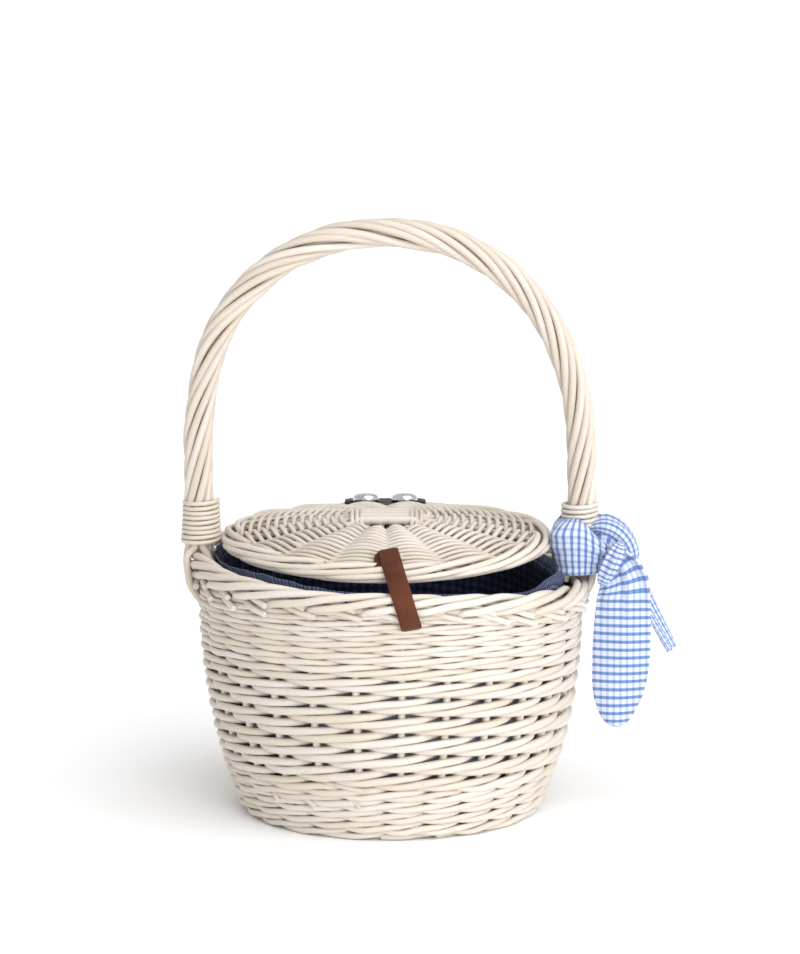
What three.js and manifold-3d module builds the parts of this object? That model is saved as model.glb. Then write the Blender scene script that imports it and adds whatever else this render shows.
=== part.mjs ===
// A round willow basket bag: a woven bowl on upright stakes, a domed lid on a leather hinge,
// a roped arch handle with bound collars, a cloth lining, a leather strap and a tied scarf.
// Millimetres, Z up. The origin is where the basket's axis meets the floor. The front faces -Y.
import * as THREE from "three";
import Module from "manifold-3d";
import { mergeVertices } from "three/addons/utils/BufferGeometryUtils.js";

const wasm = await Module();
wasm.setup();

// Clearances
const clearance = 0.3;
const crossingClearance = 0.9;

// Basket wall. The sizes of four-sided rods are from corner to corner.
const stakeCount = 25;
const stakeThickness = 4.8;
const footRadius = 84.2;
const topRadius = 113.5;
const wallHeight = 142;
const sideDip = 0.047;
const weaverThickness = 4.8;
const weaverHeight = 6.1;
const weaverRowPitch = 6.6;

// Rope-like rings: the foot's waling, the bowl's plaited border and the lid's plaited rim
const footWale = { strands: 3, wraps: 20, steps: 5, rod: 4.1, spread: 3.05, radius: 88.3 };
const borderLead = 3.5;
const borderRadius = topRadius + borderLead;
const border = { strands: 5, wraps: 28, steps: 6, rod: 4.9, spread: 5.4, radius: borderRadius };
const lidRim = { strands: 3, wraps: 16, steps: 6, rod: 3.3, spread: 2.35, radius: 98 };
const footCut = 0.5;

// How far the pieces seated on a ring reach into the hollows between its strands
const ringSink = { foot: 0.35, core: 1.6, strands: 1.2, lid: 1.2, stakes: 0.8 };

// Base, a slightly raised disc
const baseCentreHeight = 6.9;
const basePush = 3;
const baseSticks = { count: 16, thickness: 4.6, spacing: 9.5, half: 17, fan: 27 };
const baseWeave = { start: 44, rod: 3.6, pitch: 6.8 };
const flatRodRatio = 1.25;
const layerLift = 0.45;

// Lid
const lidHeight = 167;
const lidCrown = 14;
const lidSticks = { count: 16, thickness: 3.6, spacing: 9.5, half: 17, fan: 27 };
const lidWeave = { start: 29, rod: 2.8, pitch: 4.3 };

// Lining
const liningThickness = 1.2;
const liningTop = 150;

// Handle
const legLead = 2;
const handleHalfSpan = borderRadius + legLead;
const handleLegTop = 248;
const handleRise = 118;
const coreThickness = 6.8;
const strandCount = 8;
const strandThickness = 4.1;
const strandSpread = 6.4;
const strandTurns = 5.5;
const strandSteps = 36;
const outerTailDrop = 22;
const innerTailDrop = 4;
const tailFan = 1.5;

// Collar bindings
const bindingRod = 2.6;
const bindingPitch = 3.1;
const bindingTurns = 9;
const bindingSteps = 12;
const bindingFlare = 1;
const collarHeight = 167.2;

// Leather hinge
const hingeLeather = 2.5;
const hingeWidth = 51;
const hingeOffset = -3.4;
const hingeAxisGap = 3.5;
const flexGap = 0.8;
const hingeAxisHeight = 171.2;
const lidFlapLength = 28;
const bodyFlapDrop = 26;
const rivetSpacing = 24.2;
const rivetHead = 16.5;
const rivetHeight = 5.2;
const rivetShank = 5;
const rivetBrim = 1;
const lidRivetInset = 14;
const bodyRivetDrop = 16;
const flapLean = { bottom: 0.5, middle: 1.5 };
// Angles round the border's section at which a strip leaves its inner and its outer side
const hingeLap = { inner: 1.9, outer: 0 };
const strapLap = { inner: 1.75, outer: 0.1 };

// Strap
const strapLeather = 2;
const strapWidth = 12;
const strapSlitRadius = 87;
const strapFoldLength = 8.5;
const strapStart = -2.5;
const strapSlant = 0.2;
const strapTailDrop = 26;
const strapPivotGap = 1.7;
const squareEnd = 1;
const foldBulge = 0.8;

// Scarf
const scarfWrapBottom = 158.5;
const scarfWrapHeight = 26;
const scarfWrapThickness = 2.2;
const scarfWrapSide = 1.3;
const scarfCloth = 1.4;
const knotSize = new THREE.Vector3(12, 12, 24);
const knotAngle = -0.92;
const knotDrop = 3;
const loopSection = { thickness: 6, width: 15 };
// The loop's middle: beyond the wrap's outer side, back from the knot, below the wrap's top
const loopRoute = [
  [0, 0, 14],
  [5, 3, 2],
  [10, 9, 3],
  [14, 15, 8],
  [13, 22, 17],
  [9, 26, 23],
];
const frontTail = { length: 98, width: 36.5, top: -3.3, round: 0.2, foldDepth: 2.6, folds: 1.5 };
const backTail = { length: 58, width: 17, top: -1, slant: 24, foldDepth: 1.6, folds: 1.3 };

// Colours
const willow = new THREE.MeshStandardMaterial({ color: "#e8dcc6", roughness: 0.72, metalness: 0 });
const paleWillow = new THREE.MeshStandardMaterial({ color: "#efe6d5", roughness: 0.7, metalness: 0 });
const brownLeather = new THREE.MeshStandardMaterial({ color: "#6e3d28", roughness: 0.5, metalness: 0 });
const darkLeather = new THREE.MeshStandardMaterial({ color: "#3d241b", roughness: 0.55, metalness: 0 });
const chrome = new THREE.MeshStandardMaterial({ color: "#c9ccd1", roughness: 0.15, metalness: 1 });
const navyCotton = new THREE.MeshStandardMaterial({ color: "#1d2745", roughness: 0.9, metalness: 0 });
const checkedCotton = new THREE.MeshStandardMaterial({ color: "#b9c9ea", roughness: 0.88, metalness: 0 });

const basketBag = new THREE.Group();
basketBag.name = "wicker_basket_bag";

function addPiece(name, geometry, material, parent = basketBag) {
  const mesh = new THREE.Mesh(geometry, material);
  mesh.name = name;
  parent.add(mesh);
  return mesh;
}

// Vector from cylinder coordinates about the basket's axis
function round(radius, angle, z) {
  return new THREE.Vector3(radius * Math.cos(angle), radius * Math.sin(angle), z);
}

// A path through given points that keeps one corner of the swept section facing a given way
class RodPath extends THREE.Curve {
  constructor(points, facing) {
    super();
    this.points = points;
    this.facing = facing;
  }

  getPoint(t, target = new THREE.Vector3()) {
    const last = this.points.length - 1;
    const index = Math.min(Math.floor(t * last), last - 1);
    return target.lerpVectors(this.points[index], this.points[index + 1], t * last - index);
  }

  getSpacedPoints() {
    return this.points;
  }

  computeFrenetFrames() {
    const tangents = [];
    const normals = [];
    const binormals = [];
    const last = this.points.length - 1;
    this.points.forEach((point, index) => {
      const before = this.points[Math.max(index - 1, 0)];
      const after = this.points[Math.min(index + 1, last)];
      const tangent = after.clone().sub(before).normalize();
      const binormal = tangent.clone().cross(this.facing[index]).normalize();
      tangents.push(tangent);
      binormals.push(binormal);
      normals.push(binormal.clone().cross(tangent));
    });
    return { tangents, normals, binormals };
  }
}

// A rod's section: a polygon on an ellipse, its first corner towards the facing direction
function rodSection(width, height, sides) {
  const corners = [];
  for (let i = 0; i < sides; i++) {
    const angle = (2 * Math.PI * i) / sides;
    corners.push(new THREE.Vector2((width / 2) * Math.cos(angle), (height / 2) * Math.sin(angle)));
  }
  return new THREE.Shape(corners);
}

// A leather strip's section, thin towards the facing direction
function stripSection(thickness, width) {
  const half = new THREE.Vector2(thickness / 2, width / 2);
  return new THREE.Shape([
    new THREE.Vector2(half.x, -half.y),
    new THREE.Vector2(half.x, half.y),
    new THREE.Vector2(-half.x, half.y),
    new THREE.Vector2(-half.x, -half.y),
  ]);
}

function sweep(shape, points, facing) {
  const steps = points.length - 1;
  return new THREE.ExtrudeGeometry(shape, { steps, extrudePath: new RodPath(points, facing) });
}

function toSolid(geometry) {
  const bare = geometry.clone();
  bare.deleteAttribute("normal");
  bare.deleteAttribute("uv");
  const merged = mergeVertices(bare);
  return new wasm.Manifold(
    new wasm.Mesh({
      numProp: 3,
      vertProperties: new Float32Array(merged.attributes.position.array),
      triVerts: new Uint32Array(merged.index.array),
    }),
  );
}

function toGeometry(solid) {
  const mesh = solid.getMesh();
  const geometry = new THREE.BufferGeometry();
  const positions = new Float32Array(mesh.numVert * 3);
  for (let i = 0; i < mesh.numVert; i++) {
    positions.set(mesh.vertProperties.subarray(i * mesh.numProp, i * mesh.numProp + 3), i * 3);
  }
  geometry.setAttribute("position", new THREE.BufferAttribute(positions, 3));
  geometry.setIndex(new THREE.BufferAttribute(new Uint32Array(mesh.triVerts), 1));
  return geometry;
}

// The wall's flare: its stakes' centre radius at a height, and how that radius grows
function wallRadius(height) {
  const left = 1 - height / wallHeight;
  return footRadius + (topRadius - footRadius) * (1 - left * left);
}

function wallSlope(height) {
  return (2 * (topRadius - footRadius) * (1 - height / wallHeight)) / wallHeight;
}

// The mouth dips at both handle feet, and the rows below it dip with it
function dipped(height, angle) {
  return height * (1 - sideDip * Math.cos(2 * angle));
}

// The wall's profile, moved outwards square to the wall by an offset
function wallProfile(height, offset) {
  const slope = wallSlope(height);
  const stretch = Math.hypot(1, slope);
  const radius = wallRadius(height) + offset / stretch;
  return new THREE.Vector2(radius, height - (offset * slope) / stretch);
}

function wallPoint(angle, height, offset) {
  const { x, y } = wallProfile(height, offset);
  return round(x, angle, dipped(y, angle));
}

// A ring of twisted strands made by one unbroken rod that goes round the ring many times
function twistedRing(ring, centreHeight, startAngle) {
  const points = [];
  const facing = [];
  const steps = ring.wraps * ring.steps;
  const length = 2 * Math.PI * ring.radius * ring.strands;
  const share = 1 - (2 * clearance) / length;
  for (let i = 0; i <= steps; i++) {
    const travelled = (i / steps) * share;
    const angle = startAngle + 2 * Math.PI * ring.strands * travelled;
    const wrap = 2 * Math.PI * ring.wraps * travelled - Math.PI / 2;
    const outwards = Math.cos(wrap);
    const upwards = Math.sin(wrap);
    const height = centreHeight(angle) + ring.spread * upwards;
    points.push(round(ring.radius + ring.spread * outwards, angle, height));
    facing.push(round(outwards, angle, upwards));
  }
  return sweep(rodSection(ring.rod, ring.rod, 4), points, facing);
}

function ringSize(ring) {
  return 2 * ring.spread + ring.rod;
}

// Weaving: over two, under one. With a count that leaves one over when divided by three,
// the pattern moves on by one stake in each turn.
function isBehind(index) {
  return index % 3 === 0;
}

const stakeAngle = (2 * Math.PI) / stakeCount;
const footHeight = ringSize(footWale) / 2 - footCut;
const wallStart = footHeight + ringSize(footWale) / 2 + clearance;
const weaverOffset = (stakeThickness + weaverThickness) / 2 + crossingClearance;
const wallInset = weaverOffset + weaverThickness / 2;
const borderHeight = wallHeight + clearance + ringSize(border) / 2;

function addFootWale() {
  const ring = toSolid(twistedRing(footWale, () => footHeight, stakeAngle / 2));
  const floor = new THREE.BoxGeometry(4 * footRadius, 4 * footRadius, 2 * footHeight);
  floor.translate(0, 0, -footHeight);
  addPiece("foot_wale", toGeometry(ring.subtract(toSolid(floor))), willow);
}

function addStakes() {
  const bottom = wallStart - ringSink.foot;
  const top = wallHeight + ringSink.stakes;
  const heights = [0, 0.3, 0.65, 1].map((share) => bottom + (top - bottom) * share);
  for (let i = 0; i < stakeCount; i++) {
    const angle = i * stakeAngle;
    const points = heights.map((height) => wallPoint(angle, height, 0));
    const facing = heights.map(() => round(1, angle, 0));
    const stake = sweep(rodSection(stakeThickness, stakeThickness, 4), points, facing);
    addPiece("stake_" + String(i + 1).padStart(2, "0"), stake, paleWillow);
  }
}

function addSideWeave() {
  const first = wallStart + weaverHeight / 2;
  const last = wallHeight - weaverHeight / 2;
  const steps = Math.floor(((last - first) / weaverRowPitch) * stakeCount);
  const points = [];
  const facing = [];
  for (let i = 0; i <= steps; i++) {
    const angle = i * stakeAngle;
    const height = first + (weaverRowPitch * i) / stakeCount;
    points.push(wallPoint(angle, height, isBehind(i) ? -weaverOffset : weaverOffset));
    facing.push(round(1, angle, -wallSlope(height)));
  }
  addPiece("side_weave", sweep(rodSection(weaverThickness, weaverHeight, 4), points, facing), willow);
}

function addBorder() {
  const centre = (angle) => dipped(borderHeight, angle);
  addPiece("border", twistedRing(border, centre, 0), willow);
}

// A shallow dome's height above its edge
function domeHeight(radius, edge, rise) {
  return rise * (1 - (radius / edge) ** 2);
}

// Two sets of sticks that cross at the centre and fan out as spokes. Where they cross, one set
// lies on the other, pressed a little into it.
function crossedSticks(sticks, reach, edge, rise) {
  const perSide = sticks.count / 4;
  const fan = (2 * Math.PI) / sticks.count;
  let solid = null;
  for (const [turn, lift] of [
    [0, 1],
    [Math.PI / 2, -1],
  ]) {
    for (let i = 0; i < perSide; i++) {
      const place = i - (perSide - 1) / 2;
      const angle = place * fan;
      const layer = lift * layerLift * sticks.thickness;
      const stations = [reach, (reach + sticks.fan) / 2, sticks.fan].map((radius) => [
        radius * Math.cos(angle),
        radius * Math.sin(angle),
        0,
      ]);
      stations.push([sticks.half, place * sticks.spacing, layer]);
      const mirrored = stations.map(([x, y, z]) => [-x, y, z]).reverse();
      const points = [...stations, ...mirrored].map(([x, y, z]) => {
        const height = z + domeHeight(Math.hypot(x, y), edge, rise);
        return new THREE.Vector3(x, y, height).applyAxisAngle(new THREE.Vector3(0, 0, 1), turn);
      });
      const facing = points.map(() => new THREE.Vector3(0, 0, 1));
      const stick = toSolid(sweep(rodSection(sticks.thickness, sticks.thickness, 4), points, facing));
      solid = solid ? solid.add(stick) : stick;
    }
  }
  return toGeometry(solid);
}

// A flat spiral of one rod, woven over two spokes and under one
function spiralWeave(sticks, weave, last, edge, rise) {
  const fan = (2 * Math.PI) / sticks.count;
  const offset = weaveOffset(sticks, weave);
  const steps = Math.floor(((last - weave.start) / weave.pitch) * sticks.count);
  const points = [];
  const facing = [];
  for (let i = 0; i <= steps; i++) {
    const angle = (i + 0.5) * fan;
    const radius = weave.start + (weave.pitch * i) / sticks.count;
    const slope = (2 * rise * radius) / (edge * edge);
    const stretch = Math.hypot(1, slope);
    const side = isBehind(i) ? -offset : offset;
    const height = domeHeight(radius, edge, rise) + side / stretch;
    points.push(round(radius + (side * slope) / stretch, angle, height));
    facing.push(round(slope, angle, 1));
  }
  return sweep(rodSection(weave.rod, weave.rod * flatRodRatio, 4), points, facing);
}

function weaveOffset(sticks, weave) {
  return (sticks.thickness + weave.rod) / 2 + crossingClearance;
}

function addBase() {
  const group = new THREE.Group();
  group.position.z = baseCentreHeight;
  basketBag.add(group);
  const reach = footWale.radius - ringSize(footWale) / 2 - clearance + ringSink.foot;
  const edge = footWale.radius;
  const weaveEnd = wallRadius(wallStart) - wallInset - clearance - baseWeave.rod;
  addPiece("base_sticks", crossedSticks(baseSticks, reach, edge, basePush), paleWillow, group);
  const weave = spiralWeave(baseSticks, baseWeave, weaveEnd, edge, basePush);
  addPiece("base_weave", weave, willow, group);
}

function addLining() {
  const floorMiddle = baseCentreHeight + basePush + weaveOffset(baseSticks, baseWeave);
  const bottom = floorMiddle + baseWeave.rod / 2 + clearance;
  const inset = wallInset + clearance;
  const rimInset = border.radius - ringSize(border) / 2 - clearance;
  const outside = [];
  const stations = 4;
  const corner = bottom - (inset * wallSlope(bottom)) / Math.hypot(1, wallSlope(bottom));
  for (let i = 0; i <= stations; i++) {
    const height = corner + ((wallHeight - corner) * i) / stations;
    outside.push(wallProfile(height, -inset));
  }
  outside.push(new THREE.Vector2(rimInset, liningTop));
  const inside = outside.map((p) => new THREE.Vector2(p.x - liningThickness, p.y)).reverse();
  inside[inside.length - 1].y += liningThickness;
  const profile = [new THREE.Vector2(0, bottom), ...outside, ...inside];
  profile.push(new THREE.Vector2(0, bottom + liningThickness));
  const cup = new THREE.LatheGeometry(profile, stakeCount);
  cup.rotateX(Math.PI / 2);
  const place = cup.attributes.position;
  for (let i = 0; i < place.count; i++) {
    const angle = Math.atan2(place.getY(i), place.getX(i));
    const isCentre = Math.hypot(place.getX(i), place.getY(i)) < footRadius / 2;
    if (!isCentre) place.setZ(i, dipped(place.getZ(i), angle));
  }
  addPiece("lining", cup, navyCotton);
}

// The handle's bow: two upright legs and a half round between them.
// Gives the centre and the outward direction at a share of the whole length.
const bowStart = collarHeight - bindingRod / 2;
const legLength = handleLegTop - bowStart;
const archLength = (Math.PI * (handleHalfSpan + handleRise)) / 2;
const bowLength = 2 * legLength + archLength;

function bow(share) {
  const travelled = share * bowLength;
  if (travelled < legLength) {
    const centre = new THREE.Vector3(-handleHalfSpan, 0, bowStart + travelled);
    return { centre, outwards: new THREE.Vector3(-1, 0, 0) };
  }
  if (travelled > bowLength - legLength) {
    const centre = new THREE.Vector3(handleHalfSpan, 0, bowStart + bowLength - travelled);
    return { centre, outwards: new THREE.Vector3(1, 0, 0) };
  }
  const angle = Math.PI * (1 - (travelled - legLength) / archLength);
  const x = Math.cos(angle);
  const z = Math.sin(angle);
  const centre = new THREE.Vector3(handleHalfSpan * x, 0, handleLegTop + handleRise * z);
  return { centre, outwards: new THREE.Vector3(x, 0, z) };
}

function addHandleCore() {
  const steps = 22;
  const borderTop = dipped(borderHeight, 0) + ringSize(border) / 2;
  const points = [];
  const facing = [];
  for (let i = 0; i <= steps; i++) {
    const { centre, outwards } = bow(i / steps);
    points.push(centre);
    facing.push(outwards);
  }
  points[0].z = borderTop + clearance - ringSink.core;
  points[steps].z = borderTop + clearance - ringSink.core;
  addPiece("handle_core", sweep(rodSection(coreThickness, coreThickness, 6), points, facing), willow);
}

// A strand's end below the collar: the outer ones pass outside the border, the inner ones inside
function strandEnd(side, wrap) {
  const isOuter = Math.cos(wrap) > 0;
  const centreHeight = dipped(borderHeight, 0);
  const reach = ringSize(border) / 2 + strandThickness / 2 + clearance - ringSink.strands;
  const x = side * (border.radius + (isOuter ? reach : -reach));
  const y = strandSpread * tailFan * Math.sin(wrap);
  const drop = isOuter ? outerTailDrop : innerTailDrop;
  const top = centreHeight + ringSize(border) / 2;
  return [new THREE.Vector3(x, y, top), new THREE.Vector3(x, y, top - drop)];
}

function addHandleStrands() {
  for (let j = 0; j < strandCount; j++) {
    const points = [];
    const facing = [];
    const startWrap = (2 * Math.PI * (j + 0.5)) / strandCount;
    for (let i = 0; i <= strandSteps; i++) {
      const share = i / strandSteps;
      const { centre, outwards } = bow(share);
      const wrap = startWrap - 2 * Math.PI * strandTurns * share;
      const side = outwards.clone().multiplyScalar(Math.cos(wrap));
      side.y = Math.sin(wrap);
      points.push(centre.clone().addScaledVector(side, strandSpread));
      facing.push(side);
    }
    const endWrap = startWrap - 2 * Math.PI * strandTurns;
    points.unshift(...strandEnd(-1, startWrap).reverse());
    points.push(...strandEnd(1, endWrap));
    facing.unshift(facing[0], facing[0]);
    facing.push(facing[facing.length - 1], facing[facing.length - 1]);
    const section = rodSection(strandThickness, strandThickness, 4);
    addPiece("handle_strand_" + (j + 1), sweep(section, points, facing), paleWillow);
  }
}

// A thin rod wound round a handle foot, one unbroken winding, wider towards the bottom
function addCollarBinding(name, side) {
  const tight = strandSpread + strandThickness / 2 + bindingRod / 2;
  const points = [];
  const facing = [];
  const steps = bindingTurns * bindingSteps;
  for (let i = 0; i <= steps; i++) {
    const angle = (2 * Math.PI * i) / bindingSteps;
    const share = i / steps;
    const radius = tight + bindingFlare * (1 - share);
    const outwards = round(1, angle, 0);
    const point = outwards.clone().multiplyScalar(radius);
    point.x += side * handleHalfSpan;
    point.z = collarHeight + bindingTurns * bindingPitch * share;
    points.push(point);
    facing.push(outwards);
  }
  let leastGap = Infinity;
  for (let i = 0; i + bindingSteps <= steps; i++) {
    leastGap = Math.min(leastGap, points[i].distanceTo(points[i + bindingSteps]) - bindingRod);
  }
  console.log(name + ": least gap between its own turns is " + leastGap.toFixed(2) + " mm");
  addPiece(name, sweep(rodSection(bindingRod, bindingRod, 5), points, facing), willow);
}

function addLid() {
  const lid = new THREE.Group();
  lid.name = "lid";
  lid.position.z = lidHeight;
  basketBag.add(lid);
  const reach = lidRim.radius - ringSize(lidRim) / 2 - clearance;
  const sticks = crossedSticks(lidSticks, reach + ringSink.lid, lidRim.radius, lidCrown);
  addPiece("lid_sticks", sticks, paleWillow, lid);
  const last = reach - lidWeave.rod;
  const weave = spiralWeave(lidSticks, lidWeave, last, lidRim.radius, lidCrown);
  addPiece("lid_weave", weave, willow, lid);
  addPiece("lid_rim", twistedRing(lidRim, () => 0, 0), willow, lid);
}

// The lid's upper face at a distance from its centre
const lidFace = weaveOffset(lidSticks, lidWeave) + lidWeave.rod / 2;

function lidTop(radius) {
  const slope = (2 * lidCrown * radius) / lidRim.radius ** 2;
  return lidHeight + domeHeight(radius, lidRim.radius, lidCrown) + lidFace * Math.hypot(1, slope);
}

const lidEdge = lidRim.radius + ringSize(lidRim) / 2;
const hingeAxis = lidEdge + hingeAxisGap;

// A leather strip through points in the YZ plane, each given as [y, z], faced away from the basket
function leatherStrip(route, thickness, width, xAt) {
  const points = route.map(([y, z], i) => new THREE.Vector3(xAt(i), y, z));
  const facing = points.map((point, i) => {
    const before = points[Math.max(i - 1, 0)];
    const after = points[Math.min(i + 1, points.length - 1)];
    return new THREE.Vector3(0, after.z - before.z, before.y - after.y).normalize();
  });
  return sweep(stripSection(thickness, width), points, facing);
}

// Points on an arc round the border's section, on the side that a sign names
function overBorder(side, from, to, distance, count) {
  const centre = [side * border.radius, dipped(borderHeight, Math.PI / 2)];
  const points = [];
  for (let i = 0; i <= count; i++) {
    const angle = from + ((to - from) * i) / count;
    points.push([centre[0] + side * distance * Math.cos(angle), centre[1] + distance * Math.sin(angle)]);
  }
  return points;
}

// A domed rivet head on a short shank, standing on z = 0
function rivet() {
  const profile = [];
  const steps = 3;
  for (let i = 0; i <= steps; i++) {
    const angle = (Math.PI / 2) * (i / steps);
    const width = i === steps ? 0 : (rivetHead / 2) * Math.cos(angle);
    const height = rivetBrim + (rivetHeight - rivetBrim) * Math.sin(angle);
    profile.push(new THREE.Vector2(width, height));
  }
  const foot = [
    new THREE.Vector2(0, clearance - hingeLeather),
    new THREE.Vector2(rivetShank / 2, clearance - hingeLeather),
    new THREE.Vector2(rivetShank / 2, 0),
    new THREE.Vector2(rivetHead / 2, 0),
  ];
  const dome = new THREE.LatheGeometry([...foot, ...profile], 12);
  return dome.rotateX(Math.PI / 2);
}

function punched(strip, holes) {
  let solid = toSolid(strip);
  for (const hole of holes) {
    const punch = new THREE.CylinderGeometry(
      rivetShank / 2 + clearance,
      rivetShank / 2 + clearance,
      8 * hingeLeather,
      10,
    );
    punch.rotateX(Math.PI / 2);
    punch.applyQuaternion(hole.quaternion);
    punch.translate(hole.position.x, hole.position.y, hole.position.z);
    solid = solid.subtract(toSolid(punch));
  }
  return toGeometry(solid);
}

// A rivet's place on a strip's outer face, between two points of its route
function rivetPlace(x, from, to, share) {
  const along = new THREE.Vector3(0, to[0] - from[0], to[1] - from[1]).normalize();
  const normal = new THREE.Vector3(0, along.z, -along.y);
  const turn = new THREE.Quaternion().setFromUnitVectors(new THREE.Vector3(0, 0, 1), normal);
  const y = from[0] + (to[0] - from[0]) * share;
  const z = from[1] + (to[1] - from[1]) * share;
  const position = new THREE.Vector3(x, y, z).addScaledVector(normal, hingeLeather / 2 + clearance);
  return { position, quaternion: turn };
}

function addHinge() {
  const xAt = () => hingeOffset;
  const half = hingeLeather / 2 + clearance;
  const rimTop = lidHeight + ringSize(lidRim) / 2;
  const lidFrom = lidEdge - lidFlapLength;
  const weaveEdge = lidRim.radius - ringSize(lidRim) / 2 - lidWeave.rod;
  const lidRoute = [
    [hingeAxis - flexGap / 2, hingeAxisHeight],
    [hingeAxis - flexGap / 2 - squareEnd, hingeAxisHeight],
    [lidRim.radius, rimTop + half - ringSink.lid / 2],
    [weaveEdge, lidTop(weaveEdge) + half],
    [lidFrom, lidTop(lidFrom) + half],
  ];
  const distance = ringSize(border) / 2 + half;
  const wallFace = wallRadius(wallHeight) + wallInset + half;
  const overTop = overBorder(1, hingeLap.outer, hingeLap.inner, distance, 4);
  const lowest = dipped(borderHeight, Math.PI / 2) - bodyFlapDrop;
  const bodyRoute = [
    [wallFace + flapLean.bottom, lowest],
    [wallFace + flapLean.middle, lowest + bodyFlapDrop / 2],
    ...overTop,
    [hingeAxis + flexGap / 2 + squareEnd, hingeAxisHeight],
    [hingeAxis + flexGap / 2, hingeAxisHeight],
  ];
  const lidPlaces = [];
  const bodyPlaces = [];
  for (const side of [-1, 1]) {
    const x = hingeOffset + (side * rivetSpacing) / 2;
    lidPlaces.push(rivetPlace(x, lidRoute[3], lidRoute[4], lidRivetInset / lidFlapLength));
    bodyPlaces.push(rivetPlace(x, bodyRoute[0], bodyRoute[1], 1 - bodyRivetDrop / bodyFlapDrop));
  }
  const lidFlap = leatherStrip(lidRoute, hingeLeather, hingeWidth, xAt);
  const bodyFlap = leatherStrip(bodyRoute, hingeLeather, hingeWidth, xAt);
  addPiece("hinge_flap_lid", punched(lidFlap, lidPlaces), darkLeather);
  addPiece("hinge_flap_body", punched(bodyFlap, bodyPlaces), darkLeather);
  [...lidPlaces, ...bodyPlaces].forEach((place, i) => {
    const names = ["rivet_lid_left", "rivet_lid_right", "rivet_body_left", "rivet_body_right"];
    const mesh = addPiece(names[i], rivet(), chrome);
    mesh.position.copy(place.position);
    mesh.quaternion.copy(place.quaternion);
  });
}

function addStrap() {
  const half = strapLeather / 2 + clearance;
  const pivot = -(lidEdge + strapPivotGap);
  const pivotHeight = lidHeight + ringSize(lidRim) / 2 + half;
  const slitHeight = lidTop(strapSlitRadius) + half;
  const layerStep = strapLeather + 4 * clearance;
  const foldRadius = strapSlitRadius - strapFoldLength;
  const foldHeight = lidTop(foldRadius) + half;
  const underRoute = [
    [-strapSlitRadius, slitHeight],
    [-foldRadius - 1, foldHeight],
    [-foldRadius + foldBulge, foldHeight + 0.3 * layerStep],
  ];
  const topRoute = [
    ...underRoute,
    [-foldRadius + foldBulge, foldHeight + 0.8 * layerStep],
    [-foldRadius - 1, foldHeight + 1.15 * layerStep],
    [-strapSlitRadius - 1, slitHeight + 1.1 * layerStep],
    [-lidRim.radius + 2, pivotHeight + 0.7 * layerStep],
    [pivot + flexGap / 2 + squareEnd, pivotHeight],
    [pivot + flexGap / 2, pivotHeight],
  ];
  const around = overBorder(-1, strapLap.inner, strapLap.outer, ringSize(border) / 2 + half, 5);
  const [borderFace, borderMiddle] = around[around.length - 1];
  const wallFace = wallRadius(wallHeight) + wallInset + half;
  const tailRoute = [
    [pivot - flexGap / 2, pivotHeight],
    [pivot - flexGap / 2 - squareEnd, pivotHeight],
    ...around,
    [Math.min(borderFace, -wallFace), borderMiddle - strapTailDrop],
  ];
  // The strap slants to the right as it runs forwards from its fold
  const travelled = (route, i, from) => {
    let length = 0;
    for (let k = from; k < i; k++) {
      length += Math.hypot(route[k + 1][0] - route[k][0], route[k + 1][1] - route[k][1]);
    }
    return length;
  };
  const topAcross = (i) => strapStart + strapSlant * travelled(topRoute, i, underRoute.length);
  const topEnd = topAcross(topRoute.length - 1);
  const tailAcross = (i) => topEnd + strapSlant * travelled(tailRoute, i, 0);
  const fold = leatherStrip(topRoute, strapLeather, strapWidth, topAcross);
  addPiece("strap_fold", fold, brownLeather);
  const tail = leatherStrip(tailRoute, strapLeather, strapWidth, tailAcross);
  addPiece("strap_tail", tail, brownLeather);
}

// A soft sheet with an even thickness, from a function that places its middle
function clothSheet(middle, columns, rows, thickness) {
  const positions = [];
  const index = [];
  const across = columns + 1;
  const layer = across * (rows + 1);
  for (const side of [-0.5, 0.5]) {
    for (let j = 0; j <= rows; j++) {
      for (let i = 0; i <= columns; i++) {
        const point = middle(i / columns, j / rows);
        positions.push(point.x, point.y + side * thickness, point.z);
      }
    }
  }
  const quad = (a, b, c, d) => index.push(a, b, c, a, c, d);
  for (let j = 0; j < rows; j++) {
    for (let i = 0; i < columns; i++) {
      const a = j * across + i;
      quad(a, a + across, a + across + 1, a + 1);
      quad(layer + a, layer + a + 1, layer + a + across + 1, layer + a + across);
    }
  }
  for (let i = 0; i < columns; i++) {
    const low = rows * across + i;
    quad(i, i + 1, layer + i + 1, layer + i);
    quad(low, layer + low, layer + low + 1, low + 1);
  }
  for (let j = 0; j < rows; j++) {
    const left = j * across;
    const right = left + columns;
    quad(left, layer + left, layer + left + across, left + across);
    quad(right, right + across, layer + right + across, layer + right);
  }
  const geometry = new THREE.BufferGeometry();
  geometry.setAttribute("position", new THREE.BufferAttribute(new Float32Array(positions), 3));
  geometry.setIndex(index);
  return geometry;
}

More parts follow.
